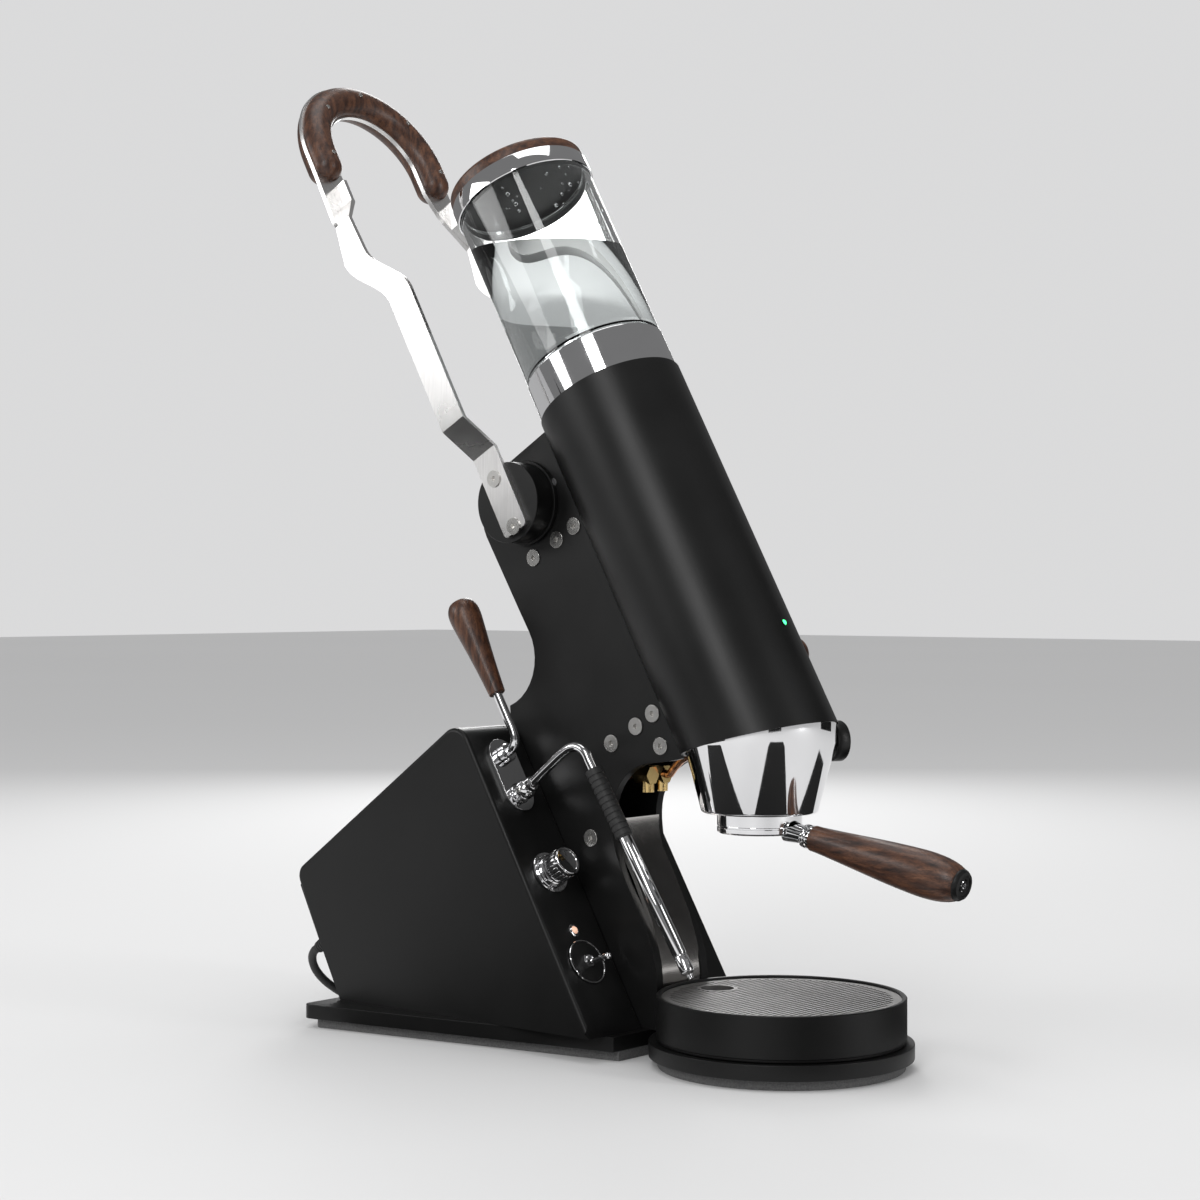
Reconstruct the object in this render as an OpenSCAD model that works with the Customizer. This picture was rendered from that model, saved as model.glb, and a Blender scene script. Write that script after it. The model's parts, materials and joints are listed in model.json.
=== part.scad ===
// Spring lever coffee machine: a black tube leans back between two steel side plates and carries a
// glass water tank on top and a group with a portafilter below. A lever with a wooden arch grip turns a
// gear train that lifts the piston. A folded housing behind holds the boiler and the controls.
// X is to the user's right, the front faces -Y, and Z is up from the surface the machine stands on.

/* [Column] */
// Backward lean of the tube, the lever and the side plates, in degrees
tilt = 29; // [26:0.5:31]
// Outer radius of the black column tube
tube_r = 62.5; // [61:0.5:64]
// Length of the tube along its axis
tube_len = 320; // [310:5:330]
// Wall of the column tube
tube_wall = 3; // [2:0.5:4]
// Height of the tube's top centre
tube_top_z = 537; // [520:1:550]
// Distance of the tube's top centre behind the origin
tube_top_y = 28.6; // [20:0.2:36]

/* [Tank] */
// Outer radius of the glass tank
glass_r = 60.2; // [58:0.1:61]
// Height of the chrome ring under the tank
ring_h = 35; // [30:1:40]
// Height of the lid's lower edge over the tube's top
lid_base = 198; // [185:1:210]

/* [Frame] */
// Thickness of each side plate
plate_t = 8; // [6:0.5:10]
// Clear width between the side plates
plate_gap = 50; // [46:1:54]
// Half width of the rear housing
housing_w = 98; // [94:1:104]
// Lean of the control panels, in degrees
panel_lean = 30; // [28:0.5:32]

/* [Base] */
// Thickness of the rubber pad under the base
pad_t = 8; // [5:0.5:10]
// Thickness of the steel base plate
base_t = 12; // [8:0.5:14]
// Radius of the base plate's round front
base_r = 105; // [100:1:110]
// Outer radius of the drip tray
tray_r = 99; // [95:1:101]
// Height of the drip tray's rim over the base plate
tray_h = 36; // [30:1:38]

/* [Lever] */
// Distance of the lever's pivot behind the tube axis
pivot_back = 100; // [98:1:104]
// Distance of the lever's pivot below the tube's top
pivot_drop = 45; // [40:1:50]
// Width of the flat lever bars
bar_w = 27; // [24:1:30]
// Thickness of the lever bars
bar_t = 4; // [3:0.5:5]
// Radius of the centre line of the arch grip
arch_r = 68; // [66:1:70]
// Radius of the wooden grip's section
grip_r = 14; // [12:0.5:15]

/* [Gears] */
// Module of the gears
gear_m = 2; // [2:2]
// Teeth of the lever's gear
drive_n = 20; // [20:20]
// Teeth of the idler gear
idler_n = 14; // [14:14]

/* [Group] */
// Radius of the bell's lower edge
bell_r = 47; // [45:0.5:50]
// Outer radius of the portafilter
porta_r = 34; // [33:0.5:36]
// Bore radius of the brew cylinder
bore_r = 28; // [26:0.5:29]

/* [Hidden] */
$fn = 64;
fit_gap = 0.05;
cut = 1;
base_top = pad_t + base_t;
plate_in = plate_gap / 2;
plate_out = plate_in + plate_t;
steel = [0.72, 0.72, 0.73];
black = [0.05, 0.05, 0.055];
walnut = [0.33, 0.17, 0.11];
brass = [0.75, 0.58, 0.28];
rubber = [0.12, 0.12, 0.12];
// Tube axis, group axis and tray centre
ring_z = -tube_len;
group_y = tube_top_y - tube_len * sin(tilt);
group_z = tube_top_z - tube_len * cos(tilt);
tray_y = -148;
bell_z = 199;
porta_z = 183;
// Gear train: the rack's pitch line, the idler and the lever's pivot, measured back from the tube axis
drive_r = gear_m * drive_n / 2;
idler_r = gear_m * idler_n / 2;
idler_back = pivot_back - drive_r - idler_r;
rack_back = idler_back - idler_r;
tooth_top = 0.8 * gear_m;
tooth_foot = 1.25 * gear_m;
gear_t = 12;
shaft_r = 9;
pin_r = 4;
rod_r = 6;
// Lever: distances up the bar from the pivot, and backwards from its line
hub_x = 57;
hub_r = 34;
bar_x = hub_x + bar_t;
arm_x = 85;
jog_low = 48;
jog_high = 75;
bend_low = 205;
bend_high = 265;
bend_back = 31;
arm_top = 300;
grip_low = 352;
arch_z = 380;
arch_back = 36;
steel_t = 4;
// Housing side view: control panel line, roof and back
panel_y = -32.5;
panel_x = 65.5;
panel_top = 286;
back_foot = 254;
back_round = 12;
back_top = [296, 124];
back_lean = atan2(back_top[0] - back_foot, back_top[1] - base_top)
  + asin(back_round / norm([back_top[0] - back_foot, back_top[1] - base_top]));
sheet_t = 2;
valve_s = 250;
ball_s = 214.5;
dial_s = 143;
lamp_s = 91;
switch_s = 63;
// Mains cord
cord_r = 3.75;
gland_x = -84;
gland_s = -6;
coil = [88, 326];
coil_r = 41;
coil_turns = [3, 2];
coil_low = 0.2;
plug_r = 17;
plug_at = [57, 362, 32.2];
cord_path = [[-84, 297, 59.6], [-83.6, 301.7, 56.8], [-82.3, 305.8, 52.8], [-79.8, 309, 47.7],
  [-76, 311.2, 41.6], [-70.5, 312.4, 34.8], [-63, 312.4, 27.4], [-53.5, 311, 19.9], [-43, 308.8, 13.2],
  [-31, 306.6, 8.2], [-18, 304.6, 5.1], [-4, 302.3, 3.95], [10, 299.3, 3.95], [23, 295.3, 3.95],
  [35, 290.6, 3.95], [46.5, 285.4, 3.95], [57.5, 279.5, 3.95]];

// Places children in the tube's frame: origin at the tube's top centre, Z up along its axis
module on_tube() { translate([0, tube_top_y, tube_top_z]) rotate([-tilt, 0, 0]) children(); }
// Places children in the lever's frame: origin on the pivot, Z up along the bars
module on_lever() { on_tube() translate([0, pivot_back, -pivot_drop]) children(); }
// Places children on a control panel: Z up along the panel, -Y out of it
module on_panel(s) {
  translate([-panel_x, panel_y + s * sin(panel_lean), base_top + s * cos(panel_lean)])
    rotate([-panel_lean, 0, 0]) children();
}
// Straight rod along X between two places
module rod_x(r, x0, x1) { translate([x0, 0, 0]) rotate([0, 90, 0]) cylinder(r = r, h = x1 - x0); }
// Copies on both sides of the machine
module both() { children(); mirror([1, 0, 0]) children(); }
// Slab with its outline in the Y-Z plane, from x0 to x1
module slab(x0, x1) { translate([x0, 0, 0]) rotate([90, 0, 90]) linear_extrude(x1 - x0) children(); }
// Outline points round a corner: centre, radius, first and last angle
function arc(c, r, a0, a1, n = 8) =
  [for (i = [0:n]) c + r * [cos(a0 + (a1 - a0) * i / n), sin(a0 + (a1 - a0) * i / n)]];

// Gear tooth outline: involute flanks between the base circle and the tip
function inv(r, rb) = r <= rb ? 0 : sqrt(pow(r / rb, 2) - 1) * 180 / PI - acos(rb / r);
function half_tooth(r, rp, rb) = (PI * gear_m / 4 - 0.16) / rp * 180 / PI + inv(rp, rb) - inv(r, rb);
function flank(rp, rb, side) = [for (i = [0:6])
  let (k = side > 0 ? 6 - i : i, r = rb + (rp + tooth_top - rb) * k / 6, a = half_tooth(r, rp, rb) * side)
  r * [cos(a), sin(a)]];
module gear(n, bore, first) {
  rp = gear_m * n / 2;
  rb = rp * cos(20);
  foot = rp - tooth_foot;
  a = half_tooth(rb, rp, rb);
  difference() {
    union() {
      cylinder(r = foot, h = gear_t, center = true);
      for (i = [0:n - 1]) rotate([0, 0, first + 360 * i / n])
        linear_extrude(gear_t, center = true)
          polygon(concat([(foot - cut) * [cos(a), -sin(a)]], flank(rp, rb, -1), flank(rp, rb, 1),
            [(foot - cut) * [cos(a), sin(a)]]));
    }
    cylinder(r = bore, h = gear_t + 2 * cut, center = true);
  }
}

/* Base */
module base_outline(inset) {
  r = base_r - inset;
  rear = [132 - inset, 265 - inset];
  waist = [78 - inset, -40];
  hull() for (s = [-1, 1]) {
    translate([s * (rear[0] - 8), rear[1] - 8]) circle(8);
    translate([s * waist[0], waist[1]]) circle(0.5);
  }
  translate([0, tray_y]) circle(r, $fn = 160);
}
module base_pad() { color(rubber) linear_extrude(pad_t) base_outline(7); }
module base_plate() { color(black) translate([0, 0, pad_t]) linear_extrude(base_t) base_outline(0); }

/* Side plates: a tall S shape from the base up to the hub */
function plate_points() = concat(
  [[-48, base_top], [-48, 62]],
  [for (i = [1:10]) let (t = i / 10) [-48 + 48 * t * t * (3 - 2 * t), 62 + 122 * t]],
  arc([-46, 190], 46, 0, 80, 10),
  [[-60, 238], [-96, 246]],
  [tube_front(-270), tube_front(-3)],
  arc(lever_corner(), 42, 90 - tilt, -tilt, 10),
  [[101, 356]],
  arc([128, 318], 43, 148, 250, 10),
  [[112, 262], [95, base_top]]);
// Point on the line where the plates meet the back of the tube
function tube_front(z) = let (b = sqrt(pow(tube_r, 2) - pow(plate_out, 2)) + 0.4)
  [tube_top_y + b * cos(tilt) + z * sin(tilt), tube_top_z - b * sin(tilt) + z * cos(tilt)];
function lever_corner() = let (b = pivot_back + 12, z = -pivot_drop - 2)
  [tube_top_y + b * cos(tilt) + z * sin(tilt), tube_top_z - b * sin(tilt) + z * cos(tilt)];
module side_plate(x0) {
  color(black) difference() {
    slab(x0, x0 + plate_t) polygon(plate_points());
    on_lever() rod_x(shaft_r + 6, x0 - cut, x0 + plate_t + cut);
    on_tube() translate([0, idler_back, -pivot_drop]) rod_x(pin_r, x0 - cut, x0 + plate_t + cut);
    screw_places() rod_x(screw_r, x0 - cut, x0 + plate_t + cut);
    on_tube() translate([0, 0, ring_z - 60]) cylinder(r = tube_r + fit_gap, h = tube_len + 60, $fn = 128);
    translate([0, group_y, bell_z]) cylinder(r1 = bell_r + 1, r2 = tube_r, h = group_z - bell_z, $fn = 128);
  }
}
module side_plate_left() { side_plate(-plate_out); }
module side_plate_right() { side_plate(plate_in); }
// Places of the plates' countersunk screws, as Y and Z
screw_yz = [[86, 403], [60, 418], [41, 429], [0, 250], [-26, 265], [-43.5, 276], [-52, 250], [22, 171]];
screw_r = 5;
screw_head_r = 7.2;
screw_proud = 1.2;
key_r = 2.2;
key_deep = 3;
module screw_places() { for (p = screw_yz) translate([0, p[0], p[1]]) children(); }
module frame_screws() {
  color(steel) both() screw_places() difference() {
    union() {
      rod_x(screw_r, -plate_out - screw_proud, -plate_in);
      rod_x(screw_head_r, -plate_out - screw_proud, -plate_out);
    }
    translate([-plate_out - screw_proud - cut, 0, 0]) rotate([0, 90, 0])
      cylinder(r = key_r, h = key_deep + cut, $fn = 6);
  }
}
// Rods that hold the plates apart, one behind each screw, and the idler's pin
module cross_rods() {
  color(steel) {
    for (i = [0, 1, 3, 7]) translate([0, screw_yz[i][0], screw_yz[i][1]]) rod_x(6, -plate_in, plate_in);
    on_tube() translate([0, idler_back, -pivot_drop]) rod_x(pin_r, -plate_out, plate_out);
  }
}
// Polished strip that closes the lower front between the plates
module spine_strip() {
  pts = [[-44, base_top], [-44, 62], [-41, 84], [-33, 106], [-17, 138], [-4, 160], [0, 176], [0, 188],
    [-3, 188], [-3, 177], [-7, 162], [-20, 140], [-36, 108], [-44, 85], [-47, 62], [-47, base_top]];
  color(steel) slab(-plate_in, plate_in) polygon(pts);
}

/* Rear housing */
function panel_point(s, out = 0) = [panel_y + s * sin(panel_lean) - out * cos(panel_lean),
  base_top + s * cos(panel_lean) + out * sin(panel_lean)];
// Side outline of the housing, drawn in by a margin
module housing_outline(m) {
  offset(delta = -m) hull() {
    polygon([panel_point(0), panel_point(6), [back_foot, base_top]]);
    translate(panel_point(panel_top - 18, -18)) circle(18);
    translate(back_top) circle(back_round);
  }
}
module rear_housing() {
  color(black) difference() {
    slab(-housing_w, housing_w) housing_outline(0);
    difference() {
      slab(-housing_w + sheet_t, housing_w - sheet_t) housing_outline(sheet_t);
      translate([-200, -200, 0]) cube([400, 500, base_top + 0.01]);
    }
    slab(-housing_w + sheet_t, housing_w - sheet_t) polygon([[-10, base_top - cut], [-10, base_top + 4],
      [245, base_top + 4], [245, base_top - cut]]);
    slab(-plate_out - 0.3, plate_out + 0.3) polygon([[-100, 0], [-100, 300], [114, 300], [96, 0]]);
    back_frame() translate([-64, -10, -38]) cube([128, 20, 76]);
    back_frame() translate([gland_x, 0, gland_s]) panel_hole(6.2);
    on_panel(valve_s) panel_hole(4.2);
    on_panel(ball_s) panel_hole(6);
    on_panel(dial_s) panel_hole(3.2);
    on_panel(lamp_s) panel_hole(4);
    on_panel(switch_s) panel_hole(6);
  }
}
module panel_hole(r) { rotate([90, 0, 0]) cylinder(r = r, h = 20, center = true); }
// Frame on the back face of the housing, Z up along it and Y out of it
module back_frame() {
  translate([0, back_foot + 54 * tan(back_lean), base_top + 54]) rotate([-back_lean, 0, 0]) children();
}
module back_cover() {
  color(black) back_frame() difference() {
    translate([-74, 0.05, -48]) cube([148, 2, 96]);
    for (x = [-69, 69], z = [-43, 43]) translate([x, 0, z]) panel_hole(2);
  }
}

/* Inside the housing */
boiler_at = [165, 112];
module boiler() {
  color(steel) translate([0, boiler_at[0], boiler_at[1]]) difference() {
    union() {
      rod_x(50, -80, 80);
      for (s = [-1, 1]) translate([s * 80, 0, 0]) rotate([0, s * 90, 0]) cylinder(r1 = 50, r2 = 40, h = 8);
      for (x = [-50, 50]) translate([x - 8, -20, base_top - boiler_at[1]]) cube([16, 40, 60]);
    }
    rod_x(47.5, -78, 78);
    rod_x(12, 70, 100);
  }
}
module heating_element() {
  color("peru") translate([0, boiler_at[0], boiler_at[1]]) {
    rod_x(12, 76, 91);
    rod_x(18, 88, 91);
    for (y = [-7, 7]) translate([0, y, 0]) rod_x(3, -62, 80);
    rod_x(11, -66, -60);
  }
}
// Round tube swept along a route, each ring square to the way it runs
function ahead(p, i) = let (a = p[max(i - 1, 0)], b = p[min(i + 1, len(p) - 1)]) (b - a) / norm(b - a);
module sweep(p, r, k, side = [1, 0.35, 0.2]) {
  m = len(p);
  rings = [for (i = [0:m - 1]) let (d = ahead(p, i), u = cross(side, d), s = u / norm(u), t = cross(d, s))
    for (j = [0:k - 1]) p[i] + r * (s * cos(j * 360 / k) + t * sin(j * 360 / k))];
  walls = [for (i = [0:m - 2], j = [0:k - 1]) let (n = (j + 1) % k)
    [i * k + j, (i + 1) * k + j, (i + 1) * k + n, i * k + n]];
  polyhedron(rings, concat([[for (j = [0:k - 1]) j]], walls, [[for (j = [k - 1:-1:0]) (m - 1) * k + j]]));
}
module copper_pipes() {
  color("peru") {
    for (x = [-11, 7]) sweep([[x, 149, 162.5], [x, 138, 180], [x, 124, 193], [x, 100, 202], [x, 30, 217],
      [x, -10, 224]], 3, 12);
    sweep([[7, -26.3, 224], [7, -29.5, 224.4], [6, -35, 230], [4, -44, 237], [2, -57, 242.5]], 3.4, 12);
  }
}
module pipe_nuts() {
  color(brass) for (x = [-11, 7]) translate([x, -20, 224]) {
    translate([0, 10, 0]) rotate([90, 0, 0]) difference() {
      cylinder(r = 8, h = 16, $fn = 6);
      translate([0, 0, -cut]) cylinder(r = 3.6, h = 4);
    }
    translate([0, 0, -5]) rotate([180, 0, 0]) cylinder(r = 5.5, h = 9);
  }
}
module valve_bodies() {
  color(brass) for (s = [valve_s, ball_s]) on_panel(s) translate([0, sheet_t + 0.2, 0]) rotate([-90, 0, 0])
    difference() {
      cylinder(r = 11, h = 30, $fn = 6);
      translate([0, 0, -cut]) cylinder(r = 4.2, h = 12);
    }
}

/* Column */
mitre = tilt / 2;
// Half space above the cut where the tilted tube meets the upright group, moved up by a gap
module above_mitre(up = 0) {
  translate([0, group_y, group_z + up]) rotate([-mitre, 0, 0])
    translate([-200, -200, 0]) cube([400, 400, 700]);
}
module column_tube() {
  slot_h = 2 * (idler_r + tooth_top + 3);
  color(black) difference() {
    intersection() {
      on_tube() difference() {
        translate([0, 0, ring_z - 60]) cylinder(r = tube_r, h = tube_len + 60, $fn = 128);
        translate([0, 0, ring_z - 70]) cylinder(r = tube_r - tube_wall, h = tube_len + 80, $fn = 128);
        translate([-8, 20, -pivot_drop - slot_h / 2]) cube([16, 60, slot_h]);
        on_lamp() cylinder(r = 3, h = tube_r + cut);
      }
      above_mitre(0.02);
    }
    on_side_knob() cylinder(r = 4.1, h = 40, center = true);
  }
}
// Place of the green lamp on the tube's front, Z out of it
module on_lamp() { rotate([0, 0, 6]) translate([0, 0, -248]) rotate([90, 0, 0]) children(); }
ring_bore = 55;
module tube_ring() {
  color("silver") on_tube() rotate_extrude($fn = 128)
    polygon(concat([[ring_bore, 0], [61, 0]], arc([59.6, ring_h - 1.2], 1.2, 0, 90, 4),
      [[ring_bore, ring_h]]));
}
module tank_glass() {
  color([0.85, 0.9, 0.92, 0.35]) on_tube() translate([0, 0, ring_h]) difference() {
    cylinder(r = glass_r, h = lid_base + 8 - ring_h, $fn = 128);
    translate([0, 0, 5]) cylinder(r = glass_r - 4, h = 200, $fn = 128);
  }
}
module lid() {
  color(walnut) on_tube() translate([0, 0, lid_base]) {
    difference() {
      cylinder(r = 62, h = 15, $fn = 128);
      translate([0, 0, -cut]) cylinder(r = glass_r + 0.4, h = 9.3 + cut, $fn = 128);
    }
    rotate_extrude($fn = 128)
      polygon(concat([[0, 15], [61, 15]], arc([57.5, 22.5], 3.5, 0, 90, 4), [[0, 26]]));
  }
}
// Place of the round knob on the tube's right side
module on_side_knob() { on_tube() translate([tube_r - 1, -12, -252]) rotate([0, 90, 0]) children(); }

/* Group */
module group_bell() {
  color("silver") difference() {
    translate([0, group_y, 0]) rotate_extrude($fn = 128) polygon(concat(
      [[0, bell_z + 22], [36, bell_z + 22], [36, bell_z + 0.01]],
      arc([bell_r - 3, bell_z + 3], 3, -90, -10, 4),
      [[tube_r - 1.5, group_z - 2], [tube_r - 1.5, group_z + 30], [0, group_z + 30]]));
    above_mitre(0);
    on_tube() translate([0, 0, ring_z - 60]) cylinder(r = 3, h = 62);
    on_gauge() translate([0, 0, 45]) cylinder(r = 5, h = 30);
  }
}
// Place of the pressure gauge, Z out of the bell's right front
module on_gauge() { translate([0, group_y, 254]) rotate([0, 90, -25]) children(); }
module brew_cylinder() {
  color(brass) intersection() {
    on_tube() translate([0, 0, ring_z - 30]) difference() {
      cylinder(r = bore_r + 6, h = 135);
      translate([0, 0, -cut]) cylinder(r = bore_r, h = 140);
    }
    above_mitre(0.02);
  }
}
module shower_screen() {
  color(steel) translate([0, group_y, bell_z + 16]) difference() {
    cylinder(r = 27, h = 6);
    translate([0, 0, 1.2]) cylinder(r = 25.6, h = 5);
    for (r = [6, 12, 18, 23], i = [0:r - 1]) rotate([0, 0, i * 360 / r])
      if (i % 2 == 0) translate([r, 0, -cut]) cylinder(r = 1, h = 4, $fn = 6);
  }
}
module group_gasket() {
  color(rubber) translate([0, group_y, bell_z + 15]) difference() {
    cylinder(r = 36, h = 7);
    translate([0, 0, -cut]) cylinder(r = 27.2, h = 9);
  }
}

/* Piston, spring and gear train */
piston_low = -286;
rack_low = -124;
module piston_rod() {
  color(steel) on_tube() {
    translate([0, 0, piston_low]) cylinder(r = bore_r - fit_gap, h = 22);
    translate([0, 0, piston_low + 21]) cylinder(r = rod_r, h = rack_low + 12 - piston_low - 21);
  }
}
module piston_seals() {
  color(rubber) on_tube() for (z = [-4, 22]) translate([0, 0, piston_low + z]) difference() {
    cylinder(r = bore_r - fit_gap, h = 4);
    translate([0, 0, -cut]) cylinder(r = z < 0 ? 1 : rod_r, h = 6);
  }
}
module spring_plate() {
  color(steel) on_tube() translate([0, 0, -150]) difference() {
    cylinder(r = tube_r - tube_wall, h = 8, $fn = 128);
    translate([0, 0, -cut]) cylinder(r = rod_r + fit_gap, h = 10);
    for (x = [-1, 1], y = [-1, 1]) translate([x * 34, y * 34, -cut]) cylinder(r = 6, h = 10);
  }
}
module main_spring() {
  turns = 7;
  wire = 2.6;
  low = piston_low + 26 + wire;
  rise = -150 - wire - low;
  n = turns * 16;
  mid = 19;
  k = 8;
  pts = [for (i = [0:n], j = [0:k - 1])
    let (a = i * 360 * turns / n, b = j * 360 / k, r = mid + wire * cos(b))
    [r * cos(a), r * sin(a), low + rise * i / n + wire * sin(b)]];
  sides = [for (i = [0:n - 1], j = [0:k - 1]) let (j2 = (j + 1) % k)
    [i * k + j, i * k + j2, (i + 1) * k + j2, (i + 1) * k + j]];
  color(steel) on_tube() polyhedron(pts, concat(
    [[for (j = [0:k - 1]) k - 1 - j]], [for (f = sides) [f[0], f[1], f[2], f[3]]],
    [[for (j = [0:k - 1]) n * k + j]]));
}
module gear_rack() {
  pitch = PI * gear_m;
  w = PI * gear_m / 4 - 0.16;
  t = tan(20);
  foot = rack_back - tooth_foot;
  color(steel) on_tube() difference() {
    union() {
      translate([-gear_t / 2, foot - 9, rack_low]) cube([gear_t, 9, 98]);
      translate([-8, -10, rack_low]) cube([16, foot - 1 + 10, 12]);
      for (i = [-9:2]) translate([0, 0, -pivot_drop + i * pitch])
        slab(-gear_t / 2, gear_t / 2) polygon([[foot - cut, -w - t * tooth_foot],
          [rack_back + tooth_top, -w + t * tooth_top], [rack_back + tooth_top, w - t * tooth_top],
          [foot - cut, w + t * tooth_foot]]);
    }
    translate([0, 0, rack_low - cut]) cylinder(r = rod_r, h = 14);
  }
}
module idler_gear() {
  color(steel) on_tube() translate([0, idler_back, -pivot_drop]) rotate([0, 90, 0])
    gear(idler_n, pin_r + fit_gap, 90 + 180 / idler_n);
}
module drive_gear() {
  color(steel) on_lever() rotate([0, 90, 0]) gear(drive_n, shaft_r, -90);
}
module axle_shaft() {
  color(steel) on_lever() rod_x(shaft_r, -plate_out - 8, plate_out + 8);
}
module hub_flanges() {
  color(black) both() on_lever() difference() {
    union() {
      rod_x(36, plate_out, plate_out + 4.5);
      rod_x(shaft_r + 6, plate_in, plate_out + 1);
    }
    rod_x(shaft_r + fit_gap, plate_in - cut, plate_out + 6);
    for (i = [0:7]) rotate([22.5 + 45 * i, 0, 0])
      translate([0, 0, 25]) rod_x(2, plate_out + 2.5, plate_out + 6);
  }
}

/* Lever */
module hub_discs() {
  color(black) both() on_lever() difference() {
    rod_x(hub_r, plate_out + 5, hub_x);
    rod_x(shaft_r, plate_out + 4, plate_out + 8);
    for (z = [-23, 23]) translate([0, 0, z]) rod_x(3, hub_x - 14, hub_x + cut);
  }
}
// Bar outline in the lever's Y-Z plane, above the jog: straight, then bent back in an S
function bar_mid(t) = bend_back * t * t * (3 - 2 * t);
module bar_upper() {
  h = bar_w / 2;
  polygon(concat([[-h, jog_high]],
    [for (i = [0:12]) let (t = i / 12) [bar_mid(t) - h, bend_low + (bend_high - bend_low) * t]],
    [[bend_back - h + 2, arm_top], [bend_back + 7, arm_top]],
    [for (i = [12:-1:0]) let (t = i / 12) [bar_mid(t) + h, bend_low + (bend_high - bend_low) * t]],
    [[h, jog_high]]));
}
module lever_arms() {
  color(steel) both() on_lever() difference() {
    union() {
      slab(hub_x, bar_x) union() {
        translate([-bar_w / 2, -28 + 4]) square([bar_w, jog_low + 24]);
        translate([-bar_w / 2 + 4, -28]) square([bar_w - 8, 8]);
        for (s = [-1, 1]) translate([s * (bar_w / 2 - 4), -24]) circle(4);
      }
      translate([0, bar_w / 2, 0]) rotate([90, 0, 0]) linear_extrude(bar_w) polygon([[hub_x, jog_low],
        [bar_x, jog_low], [arm_x, jog_high], [arm_x - bar_t, jog_high]]);
      slab(arm_x - bar_t, arm_x) bar_upper();
      translate([0, arch_back, 0]) rotate([90, 0, 0]) linear_extrude(16)
        polygon([[arm_x - bar_t, arm_top - 1], [arm_x, arm_top - 1], [arch_r + 4, arm_top + 20],
          [arch_r + 4, 341], [arch_r, 341], [arch_r, arm_top + 18]]);
    }
    for (z = [-23, 23]) translate([0, 0, z]) rod_x(3, hub_x - cut, bar_x + cut);
  }
}
// Arch of flat steel: a half ring over two legs that narrow to where the bars meet them
module arch_outline(w) {
  inner = [[arch_r - w, arch_z], [arch_r - w, grip_low + 4], [arch_r - 8, 330], [arm_x - bar_t, 298],
    [arm_x - bar_t, 290]];
  difference() {
    union() {
      translate([0, arch_z]) circle(arch_r + w, $fn = 120);
      for (s = [-1, 1]) polygon([for (p = [[arch_r - w, arch_z], [arch_r + w, arch_z],
        [arch_r + w, grip_low + 4], [arm_x, 306], inner[3], inner[2], inner[1]]) [s * p[0], p[1]]]);
    }
    translate([0, arch_z]) circle(arch_r - w, $fn = 120);
    polygon(concat(inner, [for (i = [4:-1:0]) [-inner[i][0], inner[i][1]]]));
  }
}
module lever_arch() {
  color(steel) on_lever() translate([0, arch_back + steel_t, 0]) rotate([90, 0, 0]) linear_extrude(steel_t)
    arch_outline(grip_r + 1.5);
}
// One wooden half of the grip: half a round section swept along the arch
module grip_half(side) {
  base = arch_back + (side < 0 ? 0 : steel_t);
  color(walnut) on_lever() translate([0, base, 0]) intersection() {
    union() {
      translate([0, 0, arch_z]) rotate([90, 0, 0]) rotate_extrude(angle = 180, $fn = 96)
        translate([arch_r, 0]) circle(grip_r, $fn = 48);
      for (s = [-1, 1]) translate([s * arch_r, 0, grip_low + grip_r]) {
        cylinder(r = grip_r, h = arch_z - grip_low - grip_r, $fn = 48);
        sphere(grip_r, $fn = 48);
      }
    }
    translate([-150, side < 0 ? -30 : 0, 300]) cube([300, 30, 200]);
  }
}
module grip_front() {
  color(walnut) difference() {
    grip_half(-1);
    pin_places() translate([0, 0, -cut]) cylinder(r = 2, h = 20);
  }
}
module grip_back() { grip_half(1); }
module pin_places() {
  on_lever() translate([0, arch_back - 3, arch_z]) rotate([90, 0, 0])
    for (a = [-6, 42, 90, 138, 186]) rotate([0, 0, a]) translate([arch_r, 0, 0]) children();
}
// Countersunk screws of the bars, and the pins that clamp the wooden halves to the arch
module lever_screws() {
  color(steel) both() on_lever() for (z = [-23, 23]) translate([0, 0, z]) difference() {
    union() {
      rod_x(3, hub_x - 12, bar_x);
      rod_x(screw_head_r, bar_x, bar_x + screw_proud);
    }
    translate([bar_x - 1, 0, 0]) rotate([0, 90, 0]) cylinder(r = key_r, h = key_deep + cut, $fn = 6);
  }
  color(steel) pin_places() cylinder(r = 2, h = 12);
}

/* Steam valve, wand and controls */
module steam_escutcheon() {
  half = (valve_s - ball_s) / 2;
  color("silver") on_panel(valve_s - half) rotate([90, 0, 0]) linear_extrude(3) difference() {
    hull() for (s = [-1, 1]) translate([0, s * half]) circle(15.5);
    translate([0, half]) circle(4.2);
    translate([0, -half]) circle(9);
  }
}
module steam_lever_rod() {
  color("silver") on_panel(valve_s) {
    rotate([90, 0, 0]) translate([0, 0, -8]) cylinder(r = 4, h = 12);
    rotate([90, 0, 0]) translate([0, 0, 3.6]) cylinder(r = 8, h = 6);
    sweep([[0, -7, 0], [0, -14, 0.6], [0, -19, 3], [0, -21.6, 7.6], [0, -22, 14], [0, -22, 56]], 3.8, 12);
  }
}
module steam_lever_handle() {
  outline = concat([[0, 48], [7, 48], [7.5, 52], [8.5, 66], [10.5, 90], [13.2, 118]],
    arc([1.6, 125], 12, 0, 80, 6), [[0, 137]]);
  color(walnut) on_panel(valve_s) translate([0, -22, 0]) difference() {
    rotate_extrude() polygon(outline);
    translate([0, 0, 40]) cylinder(r = 3.8, h = 18);
  }
}
ball_out = 10;
module wand_ball() {
  color("silver") on_panel(ball_s) {
    translate([0, -ball_out, 0]) sphere(8.6);
    translate([0, -ball_out, 0]) rod_x(2.5, -9.4, 9.4);
    translate([0, -3, 0]) rotate([90, 0, 0]) cylinder(r = 5, h = 6, center = true);
  }
}
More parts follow.
